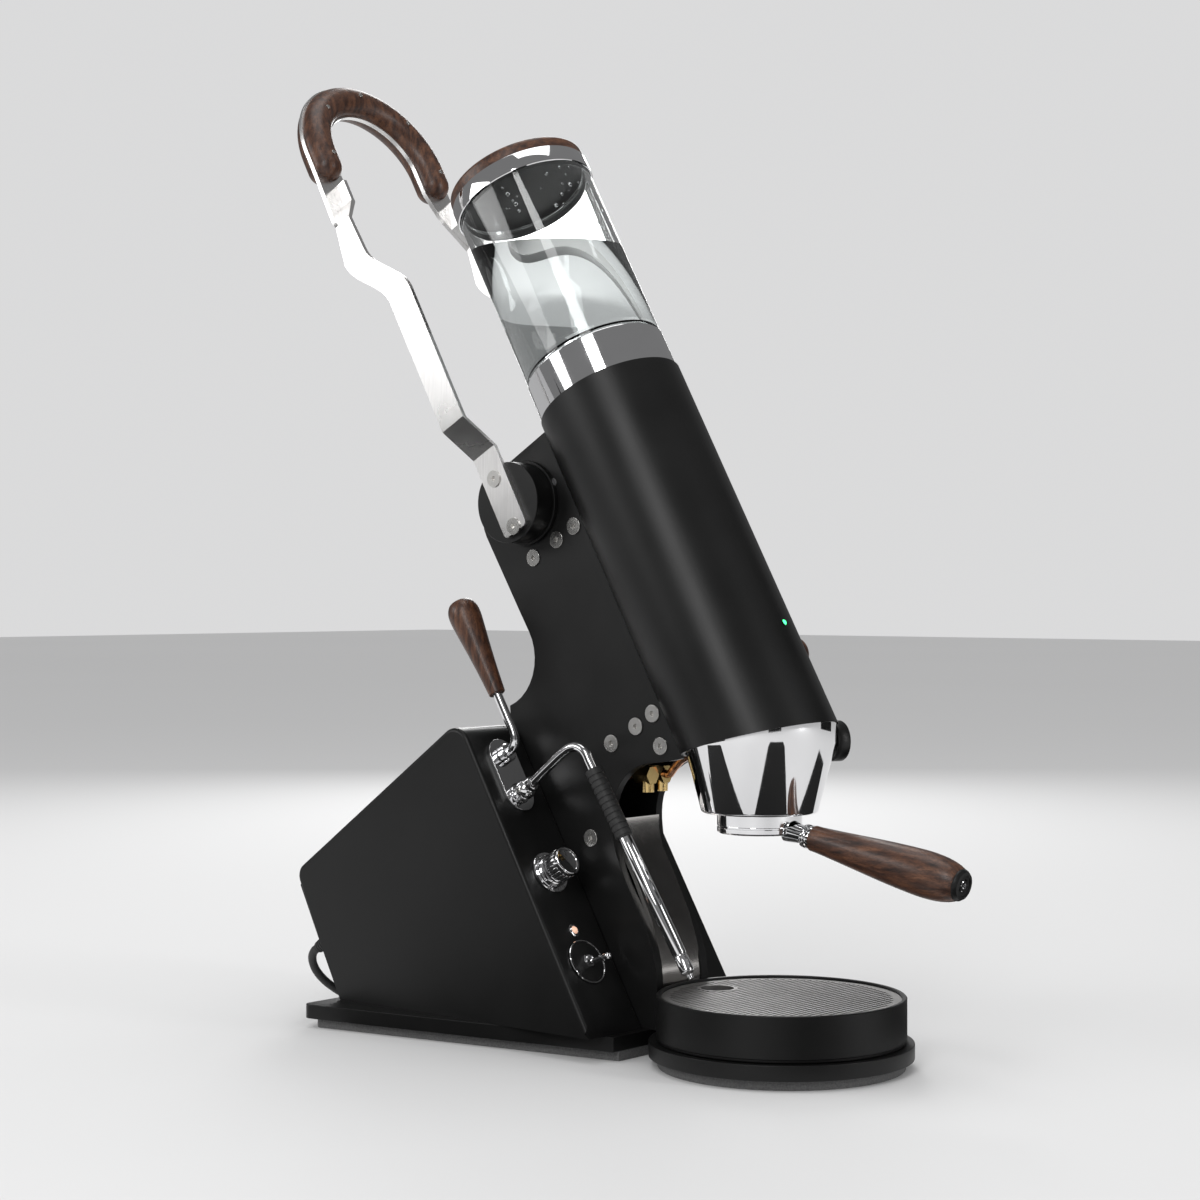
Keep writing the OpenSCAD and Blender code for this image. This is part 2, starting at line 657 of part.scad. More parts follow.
// The wand leaves the ball along the panel's normal, then runs down beside the panel, tilted out a little
wand_out = 84;
wand_tilt = 2.5;
module on_wand() {
  on_panel(ball_s) translate([0, -wand_out, -12]) rotate([180 - wand_tilt, 0, 0]) children();
}
module wand_tube() {
  color("silver") {
    on_panel(ball_s) sweep([[0, -19, 1], [0, -64, 7], [0, -73, 7], [0, -80, 3], [0, -83.4, -4],
      [0, -wand_out, -12.05]], 4, 12);
    on_wand() {
      cylinder(r = 4, h = 70);
      translate([0, 0, 70]) cylinder(r = 5.5, h = 118);
      translate([0, 0, 188]) cylinder(r1 = 5.5, r2 = 3.5, h = 8);
    }
  }
}
module wand_sleeve() {
  color(rubber) on_wand() translate([0, 0, 8]) difference() {
    cylinder(r = 7.2, h = 61.8);
    translate([0, 0, -cut]) cylinder(r = 4, h = 70);
  }
}
module knob_dial() {
  color("silver") on_panel(dial_s) rotate([90, 0, 0]) difference() {
    cylinder(r = 18, h = 2);
    translate([0, 0, -cut]) cylinder(r = 3.2, h = 4);
  }
}
module control_knob() {
  color("silver") on_panel(dial_s) rotate([90, 0, 0]) {
    translate([0, 0, -10]) cylinder(r = 3, h = 14);
    rotate_extrude() polygon(concat([[0, 2.4], [14, 2.4], [14, 5], [12.5, 6.5], [12.5, 20]],
      arc([11.5, 22], 2, 0, 90, 4), [[0, 24]]));
  }
}
module lamps() {
  color("gold") on_panel(lamp_s) rotate([90, 0, 0]) {
    translate([0, 0, -6]) cylinder(r = 4, h = 7.5);
    cylinder(r = 5.5, h = 1.5);
    translate([0, 0, 1]) sphere(3.2);
  }
  color("lime") on_tube() on_lamp() translate([0, 0, tube_r - 8]) cylinder(r = 3, h = 8.6);
}
module switch_plate() {
  color(black) on_panel(switch_s) rotate([90, 0, 0]) difference() {
    cylinder(r = 19, h = 1.6);
    translate([0, 0, -cut]) cylinder(r = 6, h = 4);
  }
}
module toggle_lever() {
  color("silver") on_panel(switch_s) rotate([12, 0, 0]) rotate([90, 0, 0]) {
    rod_x(3, -4.6, 4.6);
    cylinder(r1 = 2, r2 = 3.2, h = 24);
    translate([0, 0, 24]) sphere(3.2);
  }
}

/* Portafilter */
handle_fall = 11;
module on_handle() {
  translate([0, group_y, porta_z + 9]) rotate([90 + handle_fall, 0, 0]) children();
}
module portafilter_body() {
  color("silver") difference() {
    union() {
      translate([0, group_y, porta_z]) cylinder(r = porta_r, h = bell_z + 14.6 - porta_z);
      on_handle() translate([0, 0, 28]) cylinder(r1 = 9, r2 = 7, h = 22);
      on_handle() translate([0, 0, 46]) cylinder(r = 9.5, h = 8);
    }
    translate([0, group_y, porta_z + 5]) cylinder(r = 30.5, h = 40);
    translate([0, group_y, porta_z - cut]) cylinder(r = 22, h = 10);
    on_handle() translate([0, 0, 50]) cylinder(r = 4, h = 8);
  }
}
module filter_basket() {
  color(steel) translate([0, group_y, porta_z]) difference() {
    union() {
      translate([0, 0, 5]) cylinder(r = 29.5, h = bell_z + 14.6 - porta_z - 6);
      translate([0, 0, bell_z + 12.6 - porta_z]) cylinder(r = 30.5, h = 2);
    }
    translate([0, 0, 6]) cylinder(r = 28.4, h = 40);
  }
}
module portafilter_handle() {
  outline = [[0, 54], [9.5, 54], [10.5, 62], [12.6, 84], [15, 108], [17, 134], [17.8, 156], [17.2, 172],
    [15, 184], [12.5, 190], [0, 190]];
  color(walnut) on_handle() difference() {
    rotate_extrude() polygon(outline);
    translate([0, 0, 50]) cylinder(r = 4, h = 90);
  }
}
module handle_cap() {
  color("dimgray") on_handle() {
    translate([0, 0, 190]) difference() {
      cylinder(r1 = 12.5, r2 = 11, h = 4);
      translate([0, 0, 2.5]) cylinder(r = 3, h = 4, $fn = 6);
    }
    translate([0, 0, 50]) cylinder(r = 4, h = 90);
  }
}

/* Drip tray */
tray_wall = 4;
grille_z = tray_h - 6;
finger_y = 64;
module drip_tray() {
  color(black) translate([0, tray_y, base_top + 0.3]) difference() {
    cylinder(r = tray_r, h = tray_h - 0.3, $fn = 160);
    translate([0, 0, 3]) cylinder(r = tray_r - tray_wall - 3, h = tray_h, $fn = 160);
    translate([0, 0, grille_z - 0.3]) cylinder(r = tray_r - tray_wall, h = tray_h, $fn = 160);
  }
}
module drip_grille() {
  pitch = 5;
  slot_w = 2.2;
  color(black) translate([0, tray_y, base_top + grille_z]) {
    difference() {
      cylinder(r = tray_r - tray_wall - 0.2, h = 4, $fn = 160);
      for (i = [-17:17]) {
        len = sqrt(pow(tray_r - 11, 2) - pow(i * pitch, 2));
        translate([-len, i * pitch - slot_w / 2, -cut]) cube([2 * len, slot_w, 8]);
      }
      translate([0, finger_y, -cut]) cylinder(r = 15, h = 8);
    }
    translate([0, finger_y, 0]) difference() {
      cylinder(r = 16.5, h = 4.4);
      translate([0, 0, -cut]) cylinder(r = 13.5, h = 8);
    }
  }
}

/* Right side: wooden knob on the tube, pressure gauge on the bell */
module pressure_gauge() {
  color(black) on_gauge() {
    translate([0, 0, 45]) cylinder(r = 5, h = 20);
    rotate_extrude() polygon(concat([[0, 64], [15, 64]], arc([14.5, 66], 2, -80, 0, 4),
      arc([14.5, 74], 2, 0, 90, 4), [[14, 74.6], [0, 74.6]]));
  }
}
module side_knob() {
  color(walnut) on_side_knob() {
    translate([0, 0, -6]) cylinder(r = 4, h = 12);
    rotate_extrude() polygon(concat([[0, 3], [9, 3], [14, 9]], arc([3.5, 12], 12, 0, 80, 6), [[0, 24]]));
  }
}

/* Mains cord */
module cable_gland() {
  color(rubber) back_frame() translate([gland_x, 0, gland_s]) rotate([-90, 0, 0]) {
    translate([0, 0, -8]) cylinder(r = 6.2, h = 8.1);
    translate([0, 0, 0.05]) cylinder(r = 9, h = 3);
    translate([0, 0, 3]) cylinder(r1 = 7.5, r2 = 4.6, h = 17);
  }
}
module cord_tube() { color(rubber) sweep(cord_path, cord_r, 8); }
module cord_coil() {
  wide = 2 * cord_r * coil_turns[0];
  high = 2 * cord_r * coil_turns[1];
  color(rubber) translate([coil[0], coil[1], coil_low]) rotate_extrude()
    translate([coil_r - wide / 2, 0]) square([wide, high]);
}
// Round two-pin plug that lies on the coil, its face to the left
module cord_plug() {
  color(rubber) translate(plug_at) rotate([0, 90, 0]) {
    cylinder(r = plug_r, h = 26);
    translate([0, 0, 25]) cylinder(r1 = 9, r2 = 5, h = 26);
    for (y = [-9.5, 9.5]) translate([0, y, -19]) cylinder(r = 2.4, h = 20);
  }
}

base_pad();
base_plate();
side_plate_left();
side_plate_right();
spine_strip();
cross_rods();
frame_screws();
rear_housing();
back_cover();
boiler();
heating_element();
copper_pipes();
pipe_nuts();
valve_bodies();
column_tube();
tube_ring();
tank_glass();
group_bell();
brew_cylinder();
shower_screen();
group_gasket();
spring_plate();
hub_flanges();
axle_shaft();
drive_gear();
idler_gear();
gear_rack();
piston_rod();
piston_seals();
main_spring();
hub_discs();
lever_arms();
lever_arch();
grip_front();
grip_back();
lever_screws();
steam_escutcheon();
steam_lever_rod();
steam_lever_handle();
wand_ball();
wand_tube();
wand_sleeve();
knob_dial();
control_knob();
lamps();
switch_plate();
toggle_lever();
portafilter_body();
filter_basket();
portafilter_handle();
handle_cap();
lid();
drip_tray();
drip_grille();
side_knob();
pressure_gauge();
cable_gland();
cord_tube();
cord_coil();
cord_plug();
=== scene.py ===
"""Spring lever coffee machine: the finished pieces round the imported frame.

Lengths in the modelling calls are millimetres in a piece's own frame. Each piece is then placed in the
machine's frame, in metres, so that its object sits at the origin.
"""
import json
import math
import random

import bmesh
import bpy
from mathutils import Matrix, Vector


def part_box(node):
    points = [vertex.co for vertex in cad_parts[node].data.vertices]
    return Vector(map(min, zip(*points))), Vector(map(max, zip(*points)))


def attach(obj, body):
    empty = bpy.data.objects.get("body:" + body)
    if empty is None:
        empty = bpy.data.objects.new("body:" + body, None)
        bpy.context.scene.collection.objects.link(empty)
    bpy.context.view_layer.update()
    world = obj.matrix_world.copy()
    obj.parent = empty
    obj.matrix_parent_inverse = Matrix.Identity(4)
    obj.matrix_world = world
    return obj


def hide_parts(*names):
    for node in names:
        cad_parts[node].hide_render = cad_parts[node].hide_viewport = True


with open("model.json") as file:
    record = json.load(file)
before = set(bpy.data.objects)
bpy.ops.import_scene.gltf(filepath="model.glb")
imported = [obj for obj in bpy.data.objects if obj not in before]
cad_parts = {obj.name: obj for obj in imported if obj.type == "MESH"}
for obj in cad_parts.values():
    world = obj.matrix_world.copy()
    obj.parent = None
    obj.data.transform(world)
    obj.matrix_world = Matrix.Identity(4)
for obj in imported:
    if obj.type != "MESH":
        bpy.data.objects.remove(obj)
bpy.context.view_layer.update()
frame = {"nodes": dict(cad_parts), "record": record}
JOINTS = {j["name"]: j for j in frame["record"]["behaviour"]["joints"]}
MM = 0.001
ROUND_ANGLE = math.radians(35)
SHARP_ANGLE = math.radians(30)
FLAT_ANGLE = math.radians(0.8)
HEX_ANGLE = math.radians(20)


# ---------------------------------------------------------------- places

def place(origin, along, right=(1, 0, 0)):
    """Matrix of a frame at origin in metres, Z running along, X to the right, units millimetres."""
    z = Vector(along).normalized()
    x = Vector(right)
    x = (x - z * x.dot(z)).normalized()
    y = z.cross(x)
    turn = Matrix((x, y, z)).transposed().to_4x4()
    return Matrix.Translation(origin) @ turn @ Matrix.Scale(MM, 4)


AXIS = Vector(JOINTS["piston_slide"]["axis"])
PIVOT = Vector(JOINTS["lever_swing"]["pos_m"])
PIVOT_BACK, PIVOT_DROP = 100, 45
LEVER = place(PIVOT, AXIS)
TUBE = LEVER @ Matrix.Translation((0, -PIVOT_BACK, PIVOT_DROP))
GROUP = place((0, JOINTS["portafilter_turn"]["pos_m"][1], 0), (0, 0, 1))
PANEL_OUT = Vector(JOINTS["knob_turn"]["axis"])


def on_panel(joint):
    """Frame of a control: Z out of the panel, Y up along it."""
    return place(JOINTS[joint]["pos_m"], PANEL_OUT)


VALVE = on_panel("steam_lever_turn")
DIAL = on_panel("knob_turn")
SWITCH = on_panel("toggle_flip")
VALVE_TO_BALL, VALVE_TO_LAMP = -35.5, -159
BALL = VALVE @ Matrix.Translation((0, VALVE_TO_BALL, 0))
LAMP = VALVE @ Matrix.Translation((0, VALVE_TO_LAMP, 0))


# ---------------------------------------------------------------- camera

CAMERA_AT = (-1.53805, -1.27811, 0.37549)
CAMERA_LOOK = (0.75914, 0.65092, -0.00396)
LENS = 72.27
camera_data = bpy.data.cameras.new("camera")
camera_data.lens = LENS
camera_data.sensor_width = 36
camera_data.clip_start = 0.05
camera = bpy.data.objects.new("camera", camera_data)
camera.location = CAMERA_AT
camera.rotation_euler = Vector(CAMERA_LOOK).to_track_quat("-Z", "Y").to_euler()
bpy.context.scene.collection.objects.link(camera)
bpy.context.scene.camera = camera


# ---------------------------------------------------------------- modelling helpers

def deselect():
    """Nothing stays selected."""
    bpy.ops.object.select_all(action="DESELECT")


def pick(obj):
    """Only this piece is selected and active."""
    deselect()
    obj.select_set(True)
    bpy.context.view_layer.objects.active = obj


def edit(obj):
    """Edit mode with every corner of the piece selected."""
    pick(obj)
    bpy.ops.object.mode_set(mode="EDIT")
    bpy.ops.mesh.select_mode(type="VERT")
    bpy.ops.mesh.select_all(action="SELECT")


def leave():
    """Back from edit mode."""
    bpy.ops.object.mode_set(mode="OBJECT")


def seat(obj, frame_matrix, round_angle=ROUND_ANGLE):
    """Moves a piece from its own frame into the machine's, and leaves its object at the origin."""
    pick(obj)
    obj.matrix_world = frame_matrix
    bpy.ops.object.transform_apply(location=True, rotation=True, scale=True)
    if frame_matrix.determinant() < 0:
        edit(obj)
        bpy.ops.mesh.flip_normals()
        leave()
    bpy.ops.object.shade_smooth_by_angle(angle=round_angle)
    return obj


def done(obj, body, material, slot, *replaced):
    """Gives a piece its finish and body, and hides the imported parts it stands for."""
    obj.data.materials.clear()
    obj.data.materials.append(material)
    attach(obj, body)
    if replaced:
        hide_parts(*replaced)
    return obj


def chain(name, points):
    """An open line of edges through points, pulled out of one corner of a plane."""
    bpy.ops.mesh.primitive_plane_add(size=2)
    obj = bpy.context.active_object
    obj.name = name
    edit(obj)
    bpy.ops.mesh.merge(type="CENTER")
    mesh = bmesh.from_edit_mesh(obj.data)
    mesh.verts.ensure_lookup_table()
    mesh.verts[0].co = points[0]
    bmesh.update_edit_mesh(obj.data)
    for here, there in zip(points, points[1:]):
        step = Vector(there) - Vector(here)
        bpy.ops.mesh.extrude_region_move(TRANSFORM_OT_translate={"value": step})
    return obj


def tidy_mesh():
    """Welds a mesh where its ends meet and turns its faces outwards."""
    bpy.ops.mesh.select_all(action="SELECT")
    bpy.ops.mesh.remove_doubles(threshold=0.001)
    bpy.ops.mesh.normals_make_consistent(inside=False)


def turned(name, outline, frame_matrix, steps=96, round_angle=ROUND_ANGLE):
    """A piece turned on a lathe: the outline as (radius, height), spun round Z."""
    deselect()
    obj = chain(name, [(r, 0, z) for r, z in outline])
    bpy.ops.mesh.select_all(action="SELECT")
    bpy.ops.mesh.spin(steps=steps, angle=2 * math.pi, center=(0, 0, 0), axis=(0, 0, 1))
    tidy_mesh()
    leave()
    return seat(obj, frame_matrix, round_angle)


def arc(centre, radius, first, last, steps=6):
    """Points of an arc as pairs, angles in degrees."""
    angles = [math.radians(first + (last - first) * i / steps) for i in range(steps + 1)]
    return [(centre[0] + radius * math.cos(a), centre[1] + radius * math.sin(a)) for a in angles]


def round_bar(name, points, radius, frame_matrix, sides=10):
    """A rod or tube of one radius along a smooth line through points, with closed ends."""
    deselect()
    bpy.ops.curve.primitive_bezier_curve_add()
    obj = bpy.context.active_object
    obj.name = name
    curve = obj.data
    spline = curve.splines[0]
    spline.bezier_points.add(len(points) - 2)
    for node, co in zip(spline.bezier_points, points):
        node.co = co
        node.handle_left_type = node.handle_right_type = "AUTO"
        node.radius = 1
    spline.resolution_u = 6
    curve.dimensions = "3D"
    curve.bevel_depth = radius
    curve.bevel_resolution = sides
    curve.use_fill_caps = True
    pick(obj)
    bpy.ops.object.convert(target="MESH")
    edit(obj)
    tidy_mesh()
    leave()
    return seat(obj, frame_matrix)


def plate(name, outline, thick, frame_matrix, bevel):
    """A flat plate: the outline in X and Y, raised along Z, its edges broken."""
    deselect()
    obj = chain(name, [(x, y, 0) for x, y in outline])
    bpy.ops.mesh.select_all(action="SELECT")
    bpy.ops.mesh.edge_face_add()
    bpy.ops.mesh.extrude_region_move(TRANSFORM_OT_translate={"value": (0, 0, thick)})
    tidy_mesh()
    leave()
    if bevel:
        soften(obj, bevel)
    return seat(obj, frame_matrix)


def join(objs, name):
    """Several pieces made into one."""
    deselect()
    for obj in objs:
        obj.select_set(True)
    bpy.context.view_layer.objects.active = objs[0]
    bpy.ops.object.join()
    bpy.context.active_object.name = name
    return bpy.context.active_object


def soften(obj, width, segments=2):
    """Breaks the sharp edges of a piece."""
    pick(obj)
    bevel = obj.modifiers.new("edges", "BEVEL")
    bevel.width = width
    bevel.segments = segments
    bevel.limit_method = "ANGLE"
    bevel.angle_limit = SHARP_ANGLE
    bpy.ops.object.modifier_apply(modifier="edges")


def refined(node, name, bevel, segments=2):
    """A copy of a CAD node with its corners merged and its edges broken, in millimetres of bevel."""
    pick(frame["nodes"][node])
    bpy.ops.object.duplicate()
    obj = bpy.context.active_object
    obj.name = name
    obj.parent = None
    obj.matrix_world = Matrix.Identity(4)
    edit(obj)
    bpy.ops.mesh.remove_doubles(threshold=0.00001)
    bpy.ops.mesh.dissolve_limited(angle_limit=FLAT_ANGLE)
    leave()
    for key in [k for k in obj.keys()]:
        del obj[key]
    if bevel:
        soften(obj, bevel * MM, segments)
    pick(obj)
    bpy.ops.object.shade_smooth_by_angle(angle=ROUND_ANGLE)
    level = obj.modifiers.new("flat_faces", "WEIGHTED_NORMAL")
    level.keep_sharp = True
    bpy.ops.object.modifier_apply(modifier="flat_faces")
    return obj


# ---------------------------------------------------------------- materials

def new_material(name):
    """An empty finish: material, its nodes and its shader."""
    material = bpy.data.materials.new(name)
    material.use_nodes = True
    tree = material.node_tree
    return material, tree, tree.nodes["Principled BSDF"]


def pattern(tree, stretch=(1, 1, 1), turn=(0, 0, 0)):
    """Object coordinates, stretched and turned, for a texture node."""
    coords = tree.nodes.new("ShaderNodeTexCoord")
    mapping = tree.nodes.new("ShaderNodeMapping")
    mapping.inputs["Scale"].default_value = stretch
    mapping.inputs["Rotation"].default_value = turn
    tree.links.new(coords.outputs["Object"], mapping.inputs["Vector"])
    return mapping.outputs["Vector"]


def noise(tree, vector, scale, detail=4, rough=0.5):
    """Cloudy variation between 0 and 1."""
    node = tree.nodes.new("ShaderNodeTexNoise")
    node.inputs["Scale"].default_value = scale
    node.inputs["Detail"].default_value = detail
    node.inputs["Roughness"].default_value = rough
    tree.links.new(vector, node.inputs["Vector"])
    return node.outputs["Fac"]


def ramp(tree, value, stops):
    """A colour ramp: stops of (place, grey or colour)."""
    node = tree.nodes.new("ShaderNodeValToRGB")
    marks = node.color_ramp.elements
    while len(marks) < len(stops):
        marks.new(0.5)
    for mark, (at, colour) in zip(marks, stops):
        mark.position = at
        mark.color = (*colour, 1) if hasattr(colour, "__len__") else (colour, colour, colour, 1)
    tree.links.new(value, node.inputs["Fac"])
    return node.outputs["Color"]


def bumped(tree, shader, height, strength, distance):
    """Fine relief of the surface."""
    node = tree.nodes.new("ShaderNodeBump")
    node.inputs["Strength"].default_value = strength
    node.inputs["Distance"].default_value = distance
    tree.links.new(height, node.inputs["Height"])
    tree.links.new(node.outputs["Normal"], shader.inputs["Normal"])


def powder_coat(name, shade=0.0045, low=0.38, high=0.44, grain=900):
    """Black satin powder coat: fine orange peel and a little wear in the sheen."""
    material, tree, shader = new_material(name)
    peel = noise(tree, pattern(tree), grain, 2)
    cloud = noise(tree, pattern(tree), 14, 5)
    tone = ramp(tree, cloud, [(0.3, shade * 0.8), (0.7, shade * 1.35)])
    gloss = ramp(tree, cloud, [(0.3, low), (0.7, high)])
    tree.links.new(tone, shader.inputs["Base Color"])
    tree.links.new(gloss, shader.inputs["Roughness"])
    shader.inputs["Specular IOR Level"].default_value = 0.36
    bumped(tree, shader, peel, 0.12, 0.0002)
    return material


def brushed(name, tone, stretch, low=0.22, high=0.4, turn=(0, 0, 0)):
    """Steel with fine brush lines along one way."""
    material, tree, shader = new_material(name)
    lines = noise(tree, pattern(tree, stretch, turn), 60, 3, 0.6)
    cloud = noise(tree, pattern(tree), 18, 4)
    colour = ramp(tree, lines, [(0.25, [c * 0.9 for c in tone]), (0.75, [min(c * 1.06, 1) for c in tone])])
    gloss = ramp(tree, cloud, [(0.3, low), (0.75, high)])
    tree.links.new(colour, shader.inputs["Base Color"])
    tree.links.new(gloss, shader.inputs["Roughness"])
    shader.inputs["Metallic"].default_value = 1
    bumped(tree, shader, lines, 0.12, 0.0001)
    return material


def polished(name, tone, low=0.03, high=0.09):
    """Chrome or bright metal with faint smears."""
    material, tree, shader = new_material(name)
    cloud = noise(tree, pattern(tree), 35, 5)
    gloss = ramp(tree, cloud, [(0.35, low), (0.75, high)])
    colour = ramp(tree, cloud, [(0.3, [c * 0.97 for c in tone]), (0.7, tone)])
    tree.links.new(colour, shader.inputs["Base Color"])
    tree.links.new(gloss, shader.inputs["Roughness"])
    shader.inputs["Metallic"].default_value = 1
    return material


def walnut(name, stretch, turn=(0, 0, 0)):
    """Oiled walnut: long dark grain, fine pores and a soft sheen."""
    material, tree, shader = new_material(name)
    along = pattern(tree, stretch, turn)
    figure = noise(tree, along, 42, 6, 0.62)
    pores = noise(tree, along, 260, 3, 0.7)
    colour = ramp(tree, figure, [(0.3, (0.018, 0.007, 0.004)), (0.44, (0.055, 0.021, 0.011)),
                                 (0.58, (0.105, 0.042, 0.02)), (0.74, (0.17, 0.074, 0.036))])
    dark = ramp(tree, pores, [(0.38, (0.35, 0.3, 0.28)), (0.52, (1, 1, 1))])
    mix = tree.nodes.new("ShaderNodeMix")
    mix.data_type = "RGBA"
    mix.blend_type = "MULTIPLY"
    mix.inputs["Factor"].default_value = 0.75
    tree.links.new(colour, mix.inputs["A"])
    tree.links.new(dark, mix.inputs["B"])
    tree.links.new(mix.outputs["Result"], shader.inputs["Base Color"])
    gloss = ramp(tree, pores, [(0.3, 0.5), (0.7, 0.32)])
    tree.links.new(gloss, shader.inputs["Roughness"])
    shader.inputs["Coat Weight"].default_value = 0.15
    shader.inputs["Coat Roughness"].default_value = 0.25
    bumped(tree, shader, pores, 0.25, 0.0002)
    return material


def soft_black(name, shade=0.018, rough=0.55):
    """Moulded rubber or PVC with a fine matt grain."""
    material, tree, shader = new_material(name)
    grain = noise(tree, pattern(tree), 700, 3)
    tone = ramp(tree, grain, [(0.3, shade * 0.7), (0.7, shade * 1.4)])
    gloss = ramp(tree, grain, [(0.3, rough - 0.06), (0.7, rough + 0.08)])
    tree.links.new(tone, shader.inputs["Base Color"])
    tree.links.new(gloss, shader.inputs["Roughness"])
    bumped(tree, shader, grain, 0.2, 0.0002)
    return material


def clear(name, tint, bend, rough=0.0):
    """Glass or water: clear, with the faintest unevenness of the surface."""
    material, tree, shader = new_material(name)
    shader.inputs["Transmission Weight"].default_value = 1
    shader.inputs["IOR"].default_value = bend
    shader.inputs["Roughness"].default_value = rough
    wave = noise(tree, pattern(tree), 9, 2)
    colour = ramp(tree, wave, [(0.3, tint), (0.7, [min(c * 1.01, 1) for c in tint])])
    tree.links.new(colour, shader.inputs["Base Color"])
    bumped(tree, shader, wave, 0.03, 0.001)
    return material


def glow(name, colour, strength):
    """Lens of a small lamp that is lit."""
    material, tree, shader = new_material(name)
    grain = noise(tree, pattern(tree), 800, 2)
    tone = ramp(tree, grain, [(0.3, [c * 0.8 for c in colour]), (0.7, colour)])
    tree.links.new(tone, shader.inputs["Base Color"])
    tree.links.new(tone, shader.inputs["Emission Color"])
    shader.inputs["Emission Strength"].default_value = strength
    shader.inputs["Roughness"].default_value = 0.2
    return material


LEAN = math.atan2(AXIS.y, AXIS.z)
BLACK = powder_coat("black_powder_coat")
TUBE_BLACK = powder_coat("tube_powder_coat", 0.005, 0.36, 0.4)
PAD_GREY = soft_black("grey_base_rubber", 0.09, 0.6)
LEVER_STEEL = brushed("lever_brushed_steel", (0.9, 0.89, 0.88), (14, 14, 0.6), 0.24, 0.36, (-LEAN, 0, 0))
TRAY_STEEL = brushed("grille_dark_steel", (0.27, 0.265, 0.26), (3, 3, 3), 0.5, 0.6)
SPINE_STEEL = brushed("spine_polished_steel", (0.88, 0.85, 0.82), (0.5, 14, 14), 0.12, 0.22)
PLAIN_STEEL = brushed("machined_steel", (0.6, 0.6, 0.61), (6, 6, 6), 0.25, 0.4)
SCREW_STEEL = brushed("screw_steel", (0.66, 0.65, 0.63), (10, 10, 10), 0.2, 0.35)
CHROME = polished("polished_chrome", (0.86, 0.86, 0.87))
BRASS = polished("bright_brass", (0.83, 0.6, 0.26), 0.12, 0.25)
COPPER = polished("drawn_copper", (0.8, 0.42, 0.26), 0.18, 0.32)
WOOD_LEVER = walnut("walnut_grip", (5, 5, 1.2))
WOOD_LID = walnut("walnut_lid", (1.1, 6, 6))
WOOD_STEAM = walnut("walnut_steam_handle", (6, 6, 0.8), (-math.radians(30), 0, 0))
WOOD_PORTA = walnut("walnut_portafilter_handle", (6, 0.8, 6), (math.radians(-11), 0, 0))
RUBBER = soft_black("black_rubber")
CORD_BLACK = soft_black("cord_pvc", 0.02, 0.45)
GLASS = clear("tank_glass", (0.97, 0.985, 0.98), 1.47)
WATER = clear("tank_water", (0.96, 0.98, 0.985), 1.33)
GREEN = glow("green_lamp", (0.05, 0.9, 0.25), 3.0)
AMBER = glow("pale_lamp", (0.9, 0.55, 0.4), 0.6)
DIAL_MARK = powder_coat("dial_mark_black", 0.03)
MARK_GREY = powder_coat("mark_grey", 0.25)


# ---------------------------------------------------------------- mains cord

# The route and sizes are in millimetres, the cord's length in metres and the coil's turns in degrees.
FLOOR = place((0, 0, 0), (0, 0, 1))
CORD_R = 3.75
CORD_D = 2 * CORD_R
CORD_PATH = [(-84, 297, 59.6), (-83.6, 301.7, 56.8), (-82.3, 305.8, 52.8), (-79.8, 309, 47.7),
             (-76, 311.2, 41.6), (-70.5, 312.4, 34.8), (-63, 312.4, 27.4), (-53.5, 311, 19.9),
             (-43, 308.8, 13.2), (-31, 306.6, 8.2), (-18, 304.6, 5.1), (-4, 302.3, 3.95), (10, 299.3, 3.95),
             (23, 295.3, 3.95), (35, 290.6, 3.95), (46.5, 285.4, 3.95), (57.5, 279.5, 3.95)]
COIL_X, COIL_Y, COIL_R = 88, 326, 41
COIL_LOW = 3.95
PLUG_BODY, PLUG_TAIL = 26, 25
PLUG_AT = (57, 362, 32.2)
LAST_TURN = 1890
COIL_STEP = 15
BACK_LEAN = math.radians(28.1)
GLAND_LENGTH = 20


def ease(t):
    """Runs from 0 to 1 with a gentle start and end."""
    t = min(max(t, 0), 1)
    return t * t * (3 - 2 * t)


def coil_points():
    """Three turns inwards on the floor and three outwards on top, each change of place over 65 degrees."""
    d = CORD_D
    dx, dy = CORD_PATH[-1][0] - COIL_X, CORD_PATH[-1][1] - COIL_Y
    start, reach = math.atan2(dy, dx), math.hypot(dx, dy)
    moves = [(0, 60, COIL_R + d - reach, 0), (285, 350, -d, 0), (595, 660, -d, 0), (905, 970, 0, d),
             (1215, 1280, d, 0), (1525, 1590, d, 0), (LAST_TURN - 75, LAST_TURN + 75, 0, 7)]
    points = []
    for total in range(COIL_STEP, LAST_TURN, COIL_STEP):
        r = reach + sum(out * ease((total - a) / (b - a)) for a, b, out, up in moves)
        z = COIL_LOW + sum(up * ease((total - a) / (b - a)) for a, b, out, up in moves)
        angle = start + math.radians(total)
        points.append((COIL_X + r * math.cos(angle), COIL_Y + r * math.sin(angle), z))
    return points


def tail_points(last, before):
    """The cord's last stretch, from the coil's top turn round into the plug's tail."""
    end = Vector(PLUG_AT) + Vector((PLUG_BODY + PLUG_TAIL, 0, 0))
    go = (Vector(last) - Vector(before)).normalized()
    go.z = 0.12
    pull = 34
    a, b, c, e = Vector(last), Vector(last) + pull * go, end + Vector((pull, 0, 0)), end
    points = []
    for i in range(1, 7):
        t = i / 6
        s = 1 - t
        points.append(tuple(a * s ** 3 + 3 * b * t * s ** 2 + 3 * c * t * t * s + e * t ** 3))
    return points


